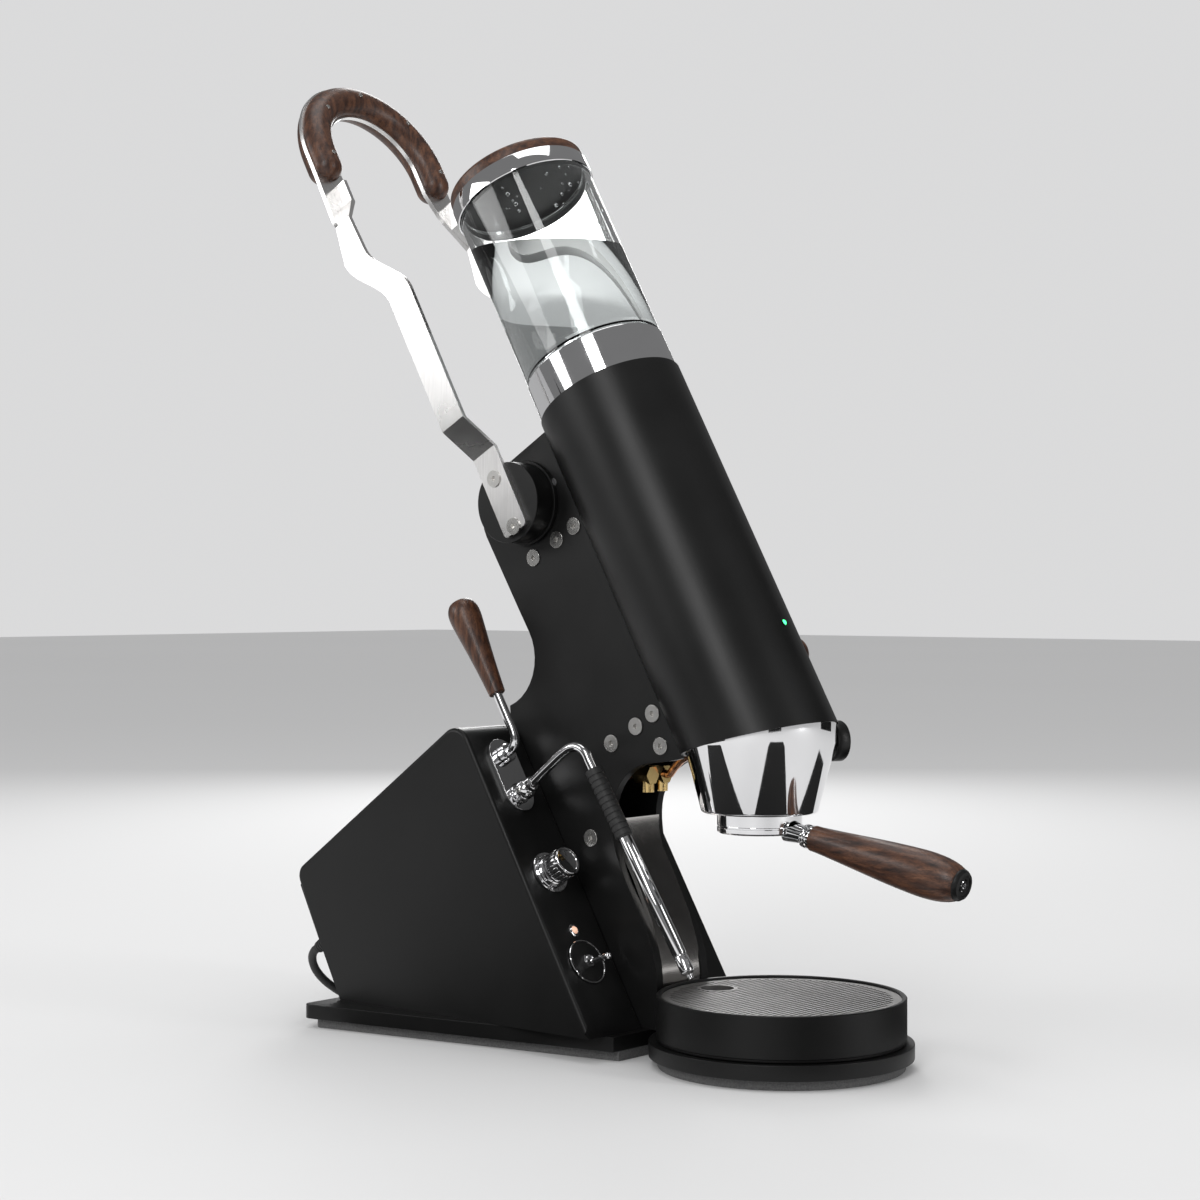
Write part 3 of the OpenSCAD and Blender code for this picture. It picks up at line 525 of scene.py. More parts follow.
def band(name, outline, width, thick, frame_matrix):
    """A strap: a closed outline in X and Y, as wide as given along Z."""
    deselect()
    obj = chain(name, [(x, y, -width / 2) for x, y in outline + outline[:1]])
    bpy.ops.mesh.select_all(action="SELECT")
    bpy.ops.mesh.extrude_region_move(TRANSFORM_OT_translate={"value": (0, 0, width)})
    tidy_mesh()
    leave()
    shell = obj.modifiers.new("wall", "SOLIDIFY")
    shell.thickness = thick
    shell.offset = 0
    pick(obj)
    bpy.ops.object.modifier_apply(modifier="wall")
    return seat(obj, frame_matrix)


def rounded(x0, y0, x1, y1, r, steps=5):
    """Outline of a rectangle with round corners."""
    return (arc((x1 - r, y0 + r), r, -90, 0, steps) + arc((x1 - r, y1 - r), r, 0, 90, steps)
            + arc((x0 + r, y1 - r), r, 90, 180, steps) + arc((x0 + r, y0 + r), r, 180, 270, steps))


def make_plug():
    """Round mains plug with a ribbed tail, and its two pins."""
    at = place(Vector(PLUG_AT) * MM, (1, 0, 0), (0, 0, -1))
    ribs = [(r, PLUG_BODY + 2 + z) for i in range(7) for r, z in
            ((8.4 - 0.5 * i, 3.2 * i), (8.4 - 0.5 * i, 3.2 * i + 1.6), (7.2 - 0.5 * i, 3.2 * i + 1.9),
             (7.1 - 0.5 * i, 3.2 * i + 3))]
    face = [(0, 1.2), (13.4, 1.2), (14, 0), (15.6, 0)] + arc((15.4, 1.6), 1.6, -80, 0, 4)
    grip = [(17, 8), (16.3, 9), (16.3, 17), (17, 18), (17, 20)] + arc((11, 20), 6, 0, 80, 6)
    end = PLUG_BODY + PLUG_TAIL
    body = turned("plug_body", face + grip + ribs + [(4.6, end), (0, end)], at)
    done(body, "frame", RUBBER, "cord_rubber", "cord_plug")
    pins = [turned("plug_pin_" + side, [(0, -19), (1.5, -19), (2.4, -17.4), (2.4, 1.6), (0, 1.6)],
                   at @ Matrix.Translation((0, y, 0)), 24) for side, y in (("front", -9.5), ("back", 9.5))]
    for pin in pins:
        done(pin, "frame", SCREW_STEEL, "cord_rubber")
    return [body] + pins


def make_gland():
    """Ribbed rubber strain relief in the housing's back, where the cord leaves."""
    end = Vector(CORD_PATH[0]) * MM
    out = Vector((0, math.cos(BACK_LEAN), -math.sin(BACK_LEAN)))
    root = end - GLAND_LENGTH * MM * out
    ribs = [(r, z) for i in range(5) for r, z in
            ((7.4 - 0.5 * i, 4 + 3.1 * i), (7.2 - 0.5 * i, 5.8 + 3.1 * i), (6.2 - 0.45 * i, 6.1 + 3.1 * i),
             (6.1 - 0.45 * i, 6.9 + 3.1 * i))]
    collar = [(0, -8), (6.2, -8), (6.2, 0.1), (8.6, 0.1), (9, 0.5), (9, 2.6), (8.4, 3.1), (7.4, 3.1)]
    mouth = [(4.6, GLAND_LENGTH - 0.4), (4.2, GLAND_LENGTH), (0, GLAND_LENGTH)]
    gland = turned("strain_relief", collar + ribs + mouth, place(root, out))
    return done(gland, "frame", RUBBER, "cord_rubber", "cable_gland")


def make_cord():
    """The whole cord as one bar, with the strap that ties its coil."""
    route = CORD_PATH + coil_points()
    route = route + tail_points(route[-1], route[-2])
    flex = round_bar("mains_cord", route, CORD_R, FLOOR, 4)
    done(flex, "frame", CORD_BLACK, "cord_rubber", "cord_tube", "cord_coil")
    half = 1.5 * CORD_D + 0.6
    tie = band("cord_tie", rounded(COIL_R - half, 0.35, COIL_R + half, 2 * CORD_D + 0.8, 3), 9, 0.6,
               place((COIL_X * MM, COIL_Y * MM, 0), (0, -1, 0)))
    done(tie, "frame", RUBBER, "cord_rubber")
    make_plug() + [make_gland(), tie]


make_cord()


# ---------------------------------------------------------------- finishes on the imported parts

def keep(material, *nodes):
    """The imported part's own mesh stays, with a better finish."""
    for node in nodes:
        obj = frame["nodes"][node]
        obj.data.materials.clear()
        obj.data.materials.append(material)


keep(PLAIN_STEEL, "axle_shaft", "drive_gear", "idler_gear", "gear_rack", "piston_rod", "main_spring",
     "spring_plate", "shower_screen", "filter_basket", "cross_rods", "boiler")
keep(COPPER, "copper_pipes", "heating_element")
keep(BRASS, "valve_bodies", "brew_cylinder", "lamps")
keep(RUBBER, "group_gasket", "piston_seals")


def dress(node, body, material, slot, bevel=0.5, segments=2):
    """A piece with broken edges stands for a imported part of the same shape."""
    obj = refined(node, node + "_finished", bevel, segments)
    return done(obj, body, material, slot, node)


def select_edges(obj, test):
    """Selects, in edit mode, the sharp edges whose two ends pass a test on their place in millimetres."""
    mesh = bmesh.from_edit_mesh(obj.data)
    for edge in mesh.edges:
        sharp = len(edge.link_faces) == 2 and edge.calc_face_angle(0) > ROUND_ANGLE
        edge.select = sharp and all(test(*(v.co / MM)) for v in edge.verts)
    mesh.select_flush_mode()
    bmesh.update_edit_mesh(obj.data)


HOUSING_FOOT, HOUSING_SLOT, SLOT_END, NEAR = 20.5, 33.3, 112, 0.05


def make_housing():
    """Folded sheet housing: wide round folds along its outer sides and beside the side plates."""
    obj = refined("rear_housing", "rear_housing_finished", 0)
    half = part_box("rear_housing")[1].x / MM
    edit(obj)
    bpy.ops.mesh.select_mode(type="EDGE")
    bpy.ops.mesh.select_all(action="DESELECT")
    select_edges(obj, lambda x, y, z: abs(abs(x) - half) < NEAR and z > HOUSING_FOOT)
    bpy.ops.mesh.bevel(offset=3.2 * MM, segments=5, affect="EDGES", clamp_overlap=False)
    bpy.ops.mesh.select_all(action="DESELECT")
    select_edges(obj, lambda x, y, z: abs(abs(x) - HOUSING_SLOT) < NEAR and y < SLOT_END)
    bpy.ops.mesh.bevel(offset=1.6 * MM, segments=4, affect="EDGES", clamp_overlap=False)
    leave()
    pick(obj)
    bpy.ops.object.shade_smooth_by_angle(angle=ROUND_ANGLE)
    done(obj, "frame", BLACK, "black_steel", "rear_housing")


make_housing()
dress("base_plate", "frame", BLACK, "black_steel", 1.2, 3)
dress("base_pad", "frame", PAD_GREY, "rubber_pad", 1.5, 3)
dress("side_plate_left", "frame", BLACK, "black_steel", 0.6)
dress("side_plate_right", "frame", BLACK, "black_steel", 0.6)
dress("spine_strip", "frame", SPINE_STEEL, "brushed_steel", 0)
dress("frame_screws", "frame", SCREW_STEEL, "plain_steel", 0.35)
dress("back_cover", "frame", BLACK, "black_steel", 0.4)
dress("pipe_nuts", "frame", BRASS, "brass", 0.5)
dress("column_tube", "frame", TUBE_BLACK, "black_steel", 0.35)
dress("hub_flanges", "frame", BLACK, "black_steel", 0.5)
dress("hub_discs", "lever", BLACK, "black_steel", 1.0, 3)
dress("lever_arms", "lever", LEVER_STEEL, "brushed_steel", 0.5)
dress("lever_arch", "lever", LEVER_STEEL, "brushed_steel", 0.6)
dress("grip_front", "lever", WOOD_LEVER, "walnut", 1.2, 3)
dress("grip_back", "lever", WOOD_LEVER, "walnut", 1.2, 3)
dress("lever_screws", "lever", SCREW_STEEL, "plain_steel", 0.25)
dress("steam_escutcheon", "frame", CHROME, "chrome", 0.5)
dress("drip_grille", "tray", TRAY_STEEL, "black_steel", 0.25, 1)


# ---------------------------------------------------------------- tank, lid and ring

RING_H, GLASS_R, GLASS_WALL, GLASS_TOP = 35, 60.2, 4, 206
LID_LOW, LID_TOP = 198, 213
WATER_LEVEL = 0.668
DROPLETS, ABOVE_WATER = 46, 0.004


def make_tank():
    """Chrome ring, glass and the water up to its level."""
    ring = turned("tank_ring_polished", [(55, 0.2), (60.4, 0.2), (61, 0.8), (61, 33.6)]
                  + arc((59.8, 33.8), 1.2, 0, 90, 4) + [(55.6, 35), (55, 34.4), (55, 0.2)], TUBE, 160)
    done(ring, "frame", CHROME, "chrome", "tube_ring")
    inner = GLASS_R - GLASS_WALL
    wall = [(0, RING_H), (59, RING_H), (GLASS_R, 36.2), (GLASS_R, GLASS_TOP - 0.6), (59.7, GLASS_TOP),
            (56.7, GLASS_TOP), (inner, GLASS_TOP - 0.6), (inner, 42), (54.4, 40), (0, 40)]
    glass = turned("tank_glass_clear", wall, TUBE, 160)
    done(glass, "frame", GLASS, "clear_glass", "tank_glass")
    water = turned("tank_water", [(0, 39.8), (54.5, 39.8), (inner + 0.2, 41.9), (inner + 0.2, 196),
                                  (0, 196)], TUBE, 160)
    edit(water)
    bpy.ops.mesh.bisect(plane_co=(0, 0, WATER_LEVEL), plane_no=(0, 0, 1), use_fill=True, clear_outer=True)
    leave()
    done(water, "frame", WATER, "clear_glass")
    make_droplets(inner)


def make_droplets(inner):
    """Condensation on the inside of the glass over the water."""
    random.seed(7)
    drops = []
    while len(drops) < DROPLETS:
        angle, height = random.uniform(-2.9, -0.2), random.uniform(150, 197)
        spot = TUBE @ Vector((inner * math.cos(angle), inner * math.sin(angle), height))
        size = random.choice((0.5, 0.7, 0.9, 1.2, 1.7))
        if spot.z < WATER_LEVEL + ABOVE_WATER:
            continue
        deselect()
        bpy.ops.mesh.primitive_uv_sphere_add(segments=12, ring_count=8, radius=size)
        drop = bpy.context.active_object
        edit(drop)
        bpy.ops.transform.resize(value=(0.6, 1, 1.15))
        leave()
        around = TUBE @ Matrix.Rotation(angle, 4, "Z")
        drop.matrix_world = around @ Matrix.Translation((inner - 0.1, 0, height))
        drops.append(drop)
    droplets = join(drops, "tank_droplets")
    seat(droplets, droplets.matrix_world.copy())
    done(droplets, "frame", WATER, "clear_glass")


def make_lid():
    """Chrome band, dark underside and walnut disc."""
    band_piece = turned("lid_band", [(60.7, LID_LOW + 0.4), (61.4, LID_LOW), (62, LID_LOW + 0.6),
                                     (62, LID_TOP - 0.6), (61.6, LID_TOP), (60.7, LID_TOP),
                                     (60.7, LID_LOW + 0.4)], TUBE, 160)
    done(band_piece, "tank_lid", CHROME, "chrome", "lid")
    plate_piece = turned("lid_underside", [(0, 207.4), (60.9, 207.4), (60.9, LID_TOP - 0.1),
                                           (0, LID_TOP - 0.1)], TUBE, 128)
    done(plate_piece, "tank_lid", BLACK, "black_metal")
    disc = turned("lid_walnut_disc", [(0, LID_TOP - 0.2), (60.6, LID_TOP - 0.2), (61, LID_TOP + 0.2)]
                  + arc((57.2, 220.2), 3.8, 0, 90, 8) + [(52, 224), (51.4, 223.5), (50.8, 223.5),
                                                         (50.2, 224), (0, 224)], TUBE, 160)
    done(disc, "tank_lid", WOOD_LID, "walnut")


# ---------------------------------------------------------------- group and portafilter

BELL_Z, PORTA_Z = 199, 183
GROUP_AT = JOINTS["portafilter_turn"]["pos_m"]
HANDLE_DROP = math.radians(11)
HANDLE = place((0, GROUP_AT[1], (PORTA_Z + 9) * MM), (0, -math.cos(HANDLE_DROP), -math.sin(HANDLE_DROP)))


def smooth_outline(points, per=5):
    """More points along a smooth line through the given ones."""
    ends = [points[0]] + points + [points[-1]]
    fine = []
    for a, b, c, d in zip(ends, ends[1:], ends[2:], ends[3:]):
        for i in range(per):
            t = i / per
            fine.append(tuple(0.5 * (2 * q + (r - p) * t + (2 * p - 5 * q + 4 * r - s) * t * t
                                     + (3 * q - p - 3 * r + s) * t ** 3) for p, q, r, s in zip(a, b, c, d)))
    return fine + [points[-1]]


def make_bell():
    """Chrome bell of the group, cut where it meets the leaning tube."""
    bell = turned("group_bell_polished", [(0, BELL_Z + 22), (36, BELL_Z + 22), (36, BELL_Z + 0.6),
                                          (36.6, BELL_Z)] + arc((44, BELL_Z + 3), 3, -90, -10, 6)
                  + [(61, 255.1), (61, 287), (0, 287)], GROUP, 160)
    edit(bell)
    lean = math.atan2(AXIS.y, AXIS.z) / 2
    bpy.ops.mesh.bisect(plane_co=GROUP_AT, plane_no=(0, math.sin(lean), math.cos(lean)), use_fill=True,
                        clear_outer=True)
    leave()
    pick(bell)
    bpy.ops.object.shade_smooth_by_angle(angle=ROUND_ANGLE)
    done(bell, "frame", CHROME, "chrome", "group_bell")


def make_portafilter():
    """Ring, ribbed neck, walnut handle, cap and its bolt."""
    z = PORTA_Z
    body = turned("portafilter_ring", [(22, z + 1), (22.8, z), (32.4, z), (34, z + 1.4), (34, z + 4.4),
                                       (33.3, z + 5), (33.3, z + 5.8), (34, z + 6.4), (34, 213.2),
                                       (33.6, 213.6), (30.5, 213.6), (30.5, z + 5), (22, z + 5),
                                       (22, z + 1)], GROUP, 128)
    done(body, "portafilter", CHROME, "chrome", "portafilter_body")
    neck = turned("handle_neck", [(0, 29), (9.2, 29), (8.6, 34), (7.6, 40), (7.2, 45.5), (7.6, 46),
                                  (9.3, 46), (9.5, 46.4), (9.5, 48.6), (9.3, 49), (8.5, 49.3),
                                  (8.5, 50.4), (9.3, 50.7), (9.5, 51.1), (9.5, 54), (0, 54)], HANDLE, 64)
    done(neck, "portafilter", CHROME, "chrome")
    swell = [(10.2, 54.6), (10.5, 62), (12, 80), (14, 102), (15.9, 124), (17.3, 145), (17.8, 160),
             (17.1, 173), (15.2, 183), (12.6, 189.6)]
    wood = turned("portafilter_handle_walnut", [(0, 54), (9.4, 54)] + smooth_outline(swell)
                  + [(12.2, 190), (0, 190)], HANDLE, 96)
    done(wood, "portafilter", WOOD_PORTA, "walnut", "portafilter_handle")
    cap = turned("handle_cap_finished", [(0, 189.6), (12.3, 189.6), (12.5, 190.2), (12.1, 191.6),
                                         (10.6, 193.7), (8.4, 194), (7.8, 193), (5.4, 193), (5, 192.2),
                                         (0, 192.2)], HANDLE, 64)
    done(cap, "portafilter", BLACK, "black_metal", "handle_cap")
    bolt = turned("handle_bolt", [(0, 191.8), (4.6, 191.8), (4.6, 193.4), (4.1, 193.9), (2.4, 193.9),
                                  (2.2, 192.6), (0, 192.6)], HANDLE, 48)
    done(bolt, "portafilter", CHROME, "chrome")


# ---------------------------------------------------------------- steam valve and wand

PANEL_UP = VALVE.to_3x3() @ Vector((0, 1, 0))


def make_steam_lever():
    """Bent rod in its collar, with a walnut handle."""
    rod = round_bar("steam_rod_polished", [(0, 0, 6), (0, 0.3, 12), (0, 2, 17), (0, 6, 20.6), (0, 12, 22),
                                           (0, 24, 22), (0, 56, 22)], 3.8, VALVE, 10)
    done(rod, "steam_handle", CHROME, "chrome", "steam_lever_rod")
    collar = turned("steam_collar", [(0, -8), (4, -8), (4, 3.6), (7.4, 3.6), (8, 4.2), (8, 8.6), (7, 9.6),
                                     (4.6, 9.9), (0, 9.9)], VALVE, 48)
    done(collar, "steam_handle", CHROME, "chrome")
    swell = [(7, 48.5), (7.4, 54), (8.4, 68), (10.2, 88), (12.4, 108), (13.6, 121), (12.9, 129),
             (9.6, 134.8), (4.6, 136.9)]
    handle = turned("steam_handle_walnut", [(0, 48), (6.4, 48)] + smooth_outline(swell) + [(0, 137)],
                    place(VALVE @ Vector((0, 0, 22)), PANEL_UP), 64)
    done(handle, "steam_handle", WOOD_STEAM, "walnut", "steam_lever_handle")


WAND_OUT, WAND_DROP, WAND_TILT, BALL_OUT = 84, 12, math.radians(2.5), 10


def make_wand():
    """Ball joint, bent pipe, spout and ribbed rubber grip."""
    ball = turned("wand_ball_polished", [(0, 0.6), (8.6, 0.6), (8.6, 2.8), (8, 3.4), (6.2, 3.5)]
                  + arc((0, BALL_OUT), 8.6, -46, 58, 14) + [(0, 17.6)], BALL, 64, SHARP_ANGLE)
    done(ball, "wand_joint", CHROME, "chrome", "wand_ball")
    pin = turned("wand_pin", [(0, -9.4), (1.8, -9.4), (2.5, -8.9), (2.5, 8.9), (1.8, 9.4), (0, 9.4)],
                 place(BALL @ Vector((0, 0, BALL_OUT)), (1, 0, 0), (0, 1, 0)), 32)
    done(pin, "wand_joint", SCREW_STEEL, "plain_steel")
    down = (BALL.to_3x3() @ Vector((0, -math.cos(WAND_TILT), math.sin(WAND_TILT)))).normalized()
    wand = place(BALL @ Vector((0, -WAND_DROP, WAND_OUT)), down)
    to_ball = BALL.inverted() @ wand
    straight = [tuple(to_ball @ Vector((0, 0, z))) for z in (0, 30, 71)]
    pipe = round_bar("wand_pipe", [(0, 1, 19), (0, 5, 46), (0, 7, 64), (0, 6.4, 73), (0, 2.6, 80),
                                   (0, -4, 83.6)] + straight, 4, BALL, 10)
    done(pipe, "wand", CHROME, "chrome", "wand_tube")
    nut = turned("wand_nut", [(0, 16), (5.6, 16), (6.2, 16.6), (6.2, 20.4), (5.6, 21), (4.4, 21.4),
                              (0, 21.4)], BALL @ Matrix.Translation((0, 1, 0)), 48)
    done(nut, "wand", CHROME, "chrome")
    spout = turned("wand_spout", [(0, 68), (4.4, 68), (5.5, 70.4), (5.5, 174), (5.1, 174.6), (5.1, 176.4),
                                  (5.5, 177), (5.5, 188)] + arc((2.2, 188.4), 3.3, 0, 70, 5)
                   + [(2.4, 193), (2.4, 195.6), (1, 196), (0, 196)], wand, 64)
    done(spout, "wand", CHROME, "chrome")
    groove = [(7.2, 0), (7.2, 3.6), (6.7, 4), (6.7, 4.6)]
    grooves = [(r, 10 + 5 * i + z) for i in range(12) for r, z in groove]
    sleeve = turned("wand_grip", [(4.1, 8), (6.6, 8), (7.2, 8.8)] + grooves
                    + [(6.6, 69.8), (4.1, 69.8), (4.1, 8)], wand, 48)
    done(sleeve, "wand", RUBBER, "seal_rubber", "wand_sleeve")


# ---------------------------------------------------------------- controls

DIAL_TICKS, KNOB_FLUTES = 11, 20
GREEN_LAMP_DOWN, GREEN_LAMP_TURN = 248, math.radians(6)
TOGGLE_DROP = math.radians(12)
GAUGE_TURN, GAUGE_HEIGHT = math.radians(25), 0.254


def make_knob():
    """Marked dial, fluted knob and its pointer line."""
    dial = turned("knob_dial_finished", [(3.2, 0), (17.6, 0), (18, 0.5), (18, 1.5), (17.4, 2), (15.2, 2),
                                         (15, 1.7), (14.6, 1.7), (14.4, 2), (3.2, 2), (3.2, 0)], DIAL, 96)
    done(dial, "frame", CHROME, "brushed_steel", "knob_dial")
    ticks = []
    for i in range(DIAL_TICKS):
        turn = DIAL @ Matrix.Rotation(math.radians(150 - 30 * i), 4, "Z")
        ticks.append(plate("tick", rounded(15.5, -0.35, 17.2, 0.35, 0.2, 2), 0.35,
                           turn @ Matrix.Translation((0, 0, 1.85)), 0))
    done(join(ticks, "dial_ticks"), "frame", DIAL_MARK, "black_metal")
    knob = turned("knob_polished", [(0, -10), (3, -10), (3, 2.4), (13.4, 2.4), (14, 3), (14, 5.4),
                                    (13.2, 6.2), (12.4, 6.6), (12.2, 8), (12.5, 9), (12.5, 20.4)]
                  + arc((11, 22.4), 1.5, 0, 90, 5) + [(9.6, 23.9), (9.2, 23.3), (0, 23.3)], DIAL, 96)
    done(knob, "knob", CHROME, "chrome", "control_knob")
    pointer = plate("knob_pointer", rounded(-0.5, 4, 0.5, 10.8, 0.45, 3), 0.5,
                    DIAL @ Matrix.Translation((0, 0, 23.1)), 0)
    done(pointer, "knob", DIAL_MARK, "black_metal")
    flutes = []
    for i in range(KNOB_FLUTES):
        turn = DIAL @ Matrix.Rotation(2 * math.pi * i / KNOB_FLUTES, 4, "Z")
        flutes.append(plate("flute", rounded(11.8, -1.1, 13, 1.1, 0.55, 3), 10,
                            turn @ Matrix.Translation((0, 0, 9.4)), 0.3))
    done(join(flutes, "knob_flutes"), "knob", CHROME, "chrome")


def make_lamps():
    """Pale lamp on the panel and green lamp on the tube."""
    bezel = turned("panel_lamp_bezel", [(3, 0), (5, 0), (5.5, 0.5), (5.5, 1), (4.6, 1.6), (3.4, 1.8),
                                        (3, 1.4), (3, 0)], LAMP, 48)
    done(bezel, "frame", CHROME, "brass", "lamps")
    lens = turned("panel_lamp_lens", [(0, -4), (3, -4), (3, 1.2)] + arc((0, 0.6), 3.1, 12, 88, 6)
                  + [(0, 3.7)], LAMP, 32)
    done(lens, "frame", AMBER, "brass")
    facing = Matrix.Rotation(GREEN_LAMP_TURN, 3, "Z") @ Vector((0, -1, 0))
    spot = place(TUBE @ Vector((0, 0, -GREEN_LAMP_DOWN)), TUBE.to_3x3() @ facing)
    rim = turned("green_lamp_rim", [(2.4, 61.4), (3.4, 61.4), (3.4, 62.9), (3.1, 63.2), (2.6, 63.2),
                                    (2.4, 62.9), (2.4, 61.4)], spot, 32)
    done(rim, "frame", BLACK, "black_metal")
    jewel = turned("green_lamp_lens", [(0, 56), (2.5, 56), (2.5, 62.6)] + arc((0, 61.4), 2.7, 26, 88, 6)
                   + [(0, 64.1)], spot, 32)
    done(jewel, "frame", GREEN, "brass")


def make_switch():
    """Toggle switch on its rimmed plate."""
    disc = turned("switch_plate_finished", [(0, 0), (18.6, 0), (19, 0.4), (19, 1.1), (18.4, 1.6),
                                            (17.4, 1.6), (17.2, 1.4), (16.8, 1.4), (16.6, 1.6), (0, 1.6)],
                  SWITCH, 96)
    done(disc, "frame", BLACK, "black_steel", "switch_plate")
    rim = turned("switch_plate_rim", [(17.6, 0.8), (19.05, 0.8), (19.1, 1.5), (18.7, 1.9), (18, 1.9),
                                      (17.6, 1.5), (17.6, 0.8)], SWITCH, 96)
    done(rim, "frame", CHROME, "chrome")
    bush = turned("switch_bush", [(0, 1.2), (5.6, 1.2), (5.9, 1.5), (5.9, 3.4), (5.6, 3.7), (4, 3.8),
                                  (4, 6.4), (3.6, 6.8), (2.7, 6.8), (2.4, 5.8), (0, 5.8)], SWITCH, 6,
                  HEX_ANGLE)
    done(bush, "frame", CHROME, "chrome")
    way = SWITCH.to_3x3() @ Vector((0, -math.sin(TOGGLE_DROP), math.cos(TOGGLE_DROP)))
    taper = smooth_outline([(2.1, 8), (2.4, 14), (3, 20), (3.2, 24)])
    bat = turned("toggle_bat", [(0, 2), (2, 2), (2.1, 7)] + taper + arc((0, 24), 3.2, 0, 90, 7),
                 place(JOINTS["toggle_flip"]["pos_m"], way), 32)
    done(bat, "toggle", CHROME, "chrome", "toggle_lever")


def make_gauge():
    """Small pressure gauge on the bell's right."""
    way = Vector((math.cos(GAUGE_TURN), -math.sin(GAUGE_TURN), 0))
    at = place((0, GROUP_AT[1], GAUGE_HEIGHT), way, (0, 0, 1))
    case = turned("gauge_case", [(0, 46), (5, 46), (5, 63), (8, 64), (14.6, 64), (16, 65), (16.5, 66.6),
                                 (16.5, 73.4), (15.8, 74.6), (14.4, 74.6), (14, 74), (14, 72.2),
                                 (0, 72.2)], at, 80)
    done(case, "frame", BLACK, "black_metal", "pressure_gauge")
    face = turned("gauge_face", [(0, 72), (13.9, 72), (13.9, 72.7), (0, 72.7)], at, 64)
    done(face, "frame", MARK_GREY, "black_metal")
    needle = plate("gauge_needle", [(-0.5, -3), (0.5, -3), (0.25, 10.5), (-0.25, 10.5)], 0.4,
                   at @ Matrix.Rotation(math.radians(50), 4, "Z") @ Matrix.Translation((0, 0, 73)), 0)
    done(needle, "frame", DIAL_MARK, "black_metal")
    glass = turned("gauge_glass", [(0, 73.6), (13.9, 73.6), (13.9, 74.3), (0, 74.5)], at, 64)
    done(glass, "frame", GLASS, "clear_glass")


def make_side_knob():
    """Walnut knob on the tube's right."""
    at = place(JOINTS["side_knob_turn"]["pos_m"], (1, 0, 0), (0, 1, 0))
    swell = [(9.4, 3.8), (11.6, 6), (13.9, 9), (15.2, 12), (14.8, 16), (12.4, 20), (8.6, 23), (4.6, 23.9)]
    knob = turned("side_knob_walnut", [(0, 3), (8.6, 3), (9.2, 3.4)] + smooth_outline(swell) + [(0, 24)],
                  at, 64)
    done(knob, "side_valve", WOOD_STEAM, "walnut", "side_knob")
    stem = turned("side_knob_stem", [(0, -6), (4, -6), (4, 1.6), (6.4, 1.6), (6.8, 2), (6.8, 3), (0, 3)],
                  at, 48)
    done(stem, "side_valve", CHROME, "chrome")


def make_tray():
    """Drip tray with the ledge that carries the grille."""
    low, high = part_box("drip_tray")
    at = place(((low.x + high.x) / 2, (low.y + high.y) / 2, low.z), (0, 0, 1))
    r, h = (high.x - low.x) / 2 / MM, (high.z - low.z) / MM
    tray = turned("drip_tray_finished", [(0, 0), (r - 1.6, 0), (r - 0.6, 0.8), (r - 0.5, 2.4), (r, 3),
                                         (r, h - 0.9), (r - 0.9, h), (r - 3.1, h), (r - 4, h - 0.9),
                                         (r - 4, h - 5.9), (r - 7, h - 6), (r - 7, 4), (r - 8, 3),
                                         (0, 3)], at, 180)
    done(tray, "tray", BLACK, "black_steel", "drip_tray")


make_tank()
make_lid()
make_bell()
make_portafilter()
make_steam_lever()
make_wand()
make_knob()
make_lamps()
make_switch()
make_gauge()
make_side_knob()
make_tray()


# ---------------------------------------------------------------- studio

CARD_REACH, CARD_LIFT, CARD_LENGTH = 0.62, 0.002, 0.9


def softbox(name, at, target, width, height, power):
    """A rectangular area light turned towards a target."""
    light = bpy.data.lights.new(name, "AREA")
    light.shape = "RECTANGLE"
    light.size = width
    light.size_y = height
    light.energy = power
    obj = bpy.data.objects.new(name, light)
    obj.location = at
    obj.rotation_euler = (Vector(target) - Vector(at)).to_track_quat("-Z", "Y").to_euler()
    bpy.context.scene.collection.objects.link(obj)


def flag(name, at, target, width, height):
    """A black card that only reflections see."""
    deselect()
    bpy.ops.mesh.primitive_plane_add(size=1)
    obj = bpy.context.active_object
    obj.name = name
    obj.scale = (width, height, 1)
    obj.location = at
    obj.rotation_euler = (Vector(target) - Vector(at)).to_track_quat("Z", "Y").to_euler()
    obj.data.materials.append(CARD)
    obj.visible_camera = False
    obj.visible_shadow = False
    obj.visible_diffuse = False
    obj.visible_transmission = False
    return obj


def floor_card(name, bearing, width):
    """A black card flat on the floor, running outwards from the group at a bearing in degrees."""
    turn = math.radians(bearing)
    at = GROUP.translation + Vector((math.cos(turn), math.sin(turn), 0)) * CARD_REACH
    card = flag(name, (at.x, at.y, CARD_LIFT), (at.x, at.y, 1), 1, 1)
    card.rotation_euler = (0, 0, turn)
    card.scale = (CARD_LENGTH, width, 1)


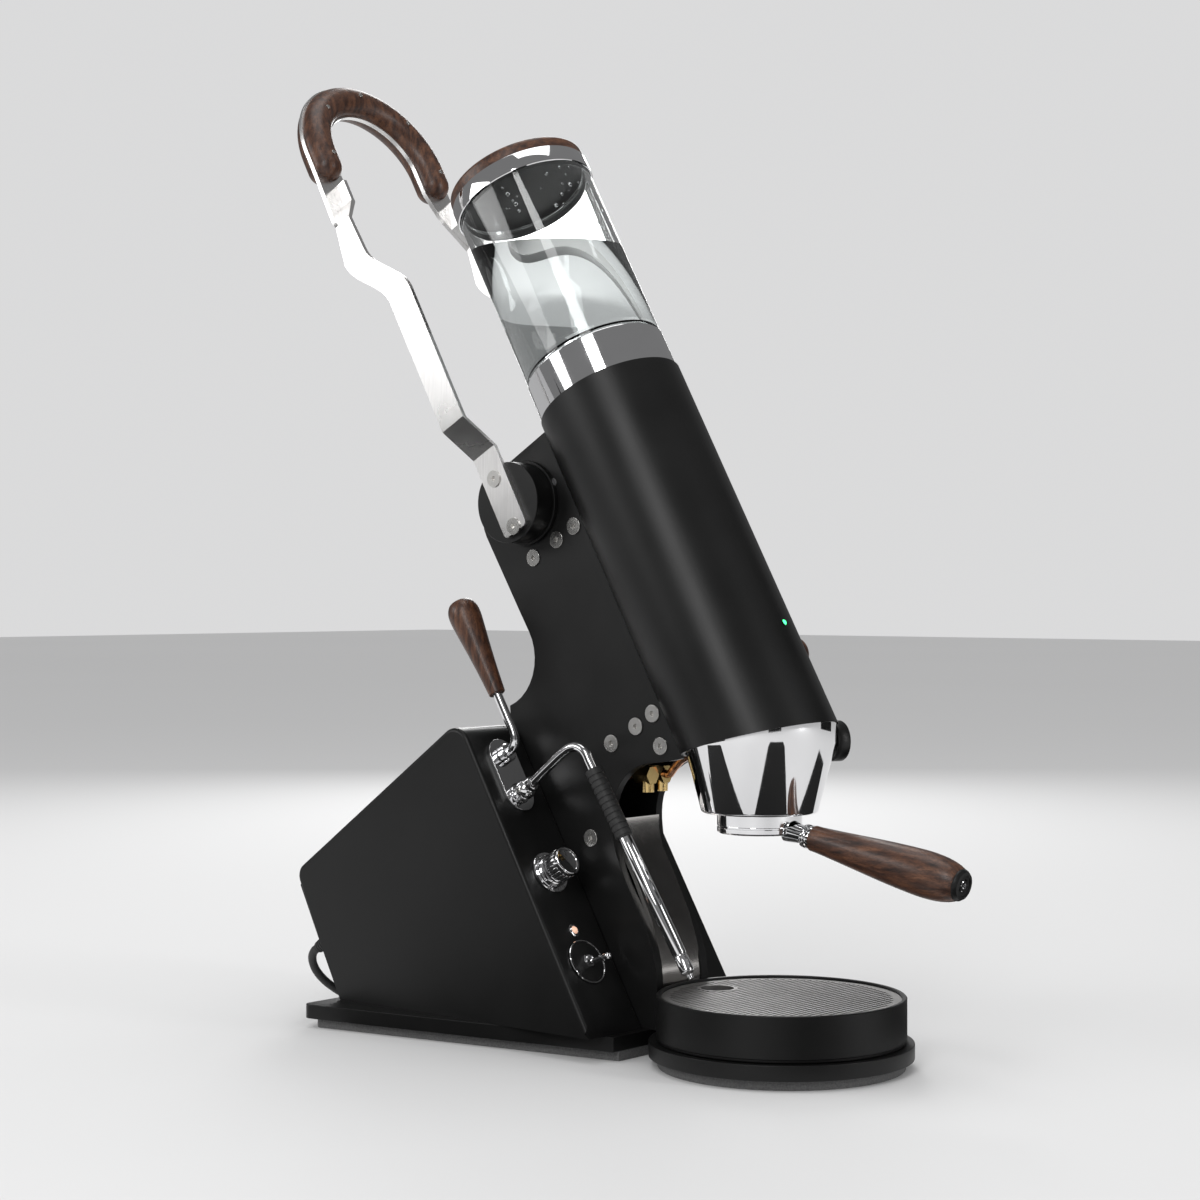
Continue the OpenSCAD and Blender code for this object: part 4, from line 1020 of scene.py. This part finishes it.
def make_studio():
    """Floor, softboxes and the cards that chrome mirrors."""
    deselect()
    bpy.ops.mesh.primitive_plane_add(size=30)
    floor = bpy.context.active_object
    floor.name = "studio_floor"
    floor.data.materials.append(FLOOR_PALE)
    middle = (0, 0, 0.4)
    softbox("key_light", (-2.3, -0.9, 1.9), middle, 0.7, 1.8, 24)
    softbox("fill_strip", (0.6, -2.8, 1.1), middle, 0.35, 1.8, 16)
    softbox("top_light", (0.1, 0.2, 2.8), middle, 1.6, 1.6, 14)
    softbox("rim_light", (1.8, 1.6, 1.5), middle, 0.6, 1.8, 22)
    softbox("lever_light", (-1.9, 1.7, 1.3), (0, 0.2, 0.6), 1.7, 0.9, 15)
    flag("card_left", (-2.2, 1.2, 0.25), (0, 0, 0.25), 1.5, 0.9)
    flag("card_front", (-1.3, -2.35, 0.8), middle, 0.9, 2.4)
    flag("card_right", (2.2, -1.1, 0.8), middle, 1.4, 2.2)
    floor_card("floor_card_left", 145, 0.42)
    floor_card("floor_card_front", 242, 0.36)
    floor_card("floor_card_right", 330, 0.42)


def even_floor(name, shade):
    """Matt pale studio floor, all but even."""
    material, tree, shader = new_material(name)
    cloud = noise(tree, pattern(tree), 0.4, 2)
    tone = ramp(tree, cloud, [(0.3, shade), (0.7, shade * 1.01)])
    tree.links.new(tone, shader.inputs["Base Color"])
    shader.inputs["Roughness"].default_value = 0.9
    shader.inputs["Specular IOR Level"].default_value = 0.1
    return material


CARD = powder_coat("black_card", 0.004, 0.9, 1.0)
FLOOR_PALE = even_floor("pale_floor", 0.66)
make_studio()

world = bpy.data.worlds.new("studio")
world.use_nodes = True
bpy.context.scene.world = world
bpy.context.scene.view_settings.view_transform = "Standard"
sky = world.node_tree
background = sky.nodes["Background"]
seen = sky.nodes.new("ShaderNodeLightPath")
shade = sky.nodes.new("ShaderNodeMix")
shade.inputs["A"].default_value = 0.82
shade.inputs["B"].default_value = 0.22
sky.links.new(seen.outputs["Is Glossy Ray"], shade.inputs["Factor"])
sky.links.new(shade.outputs["Result"], background.inputs["Strength"])
background.inputs["Color"].default_value = (0.86, 0.86, 0.865, 1)
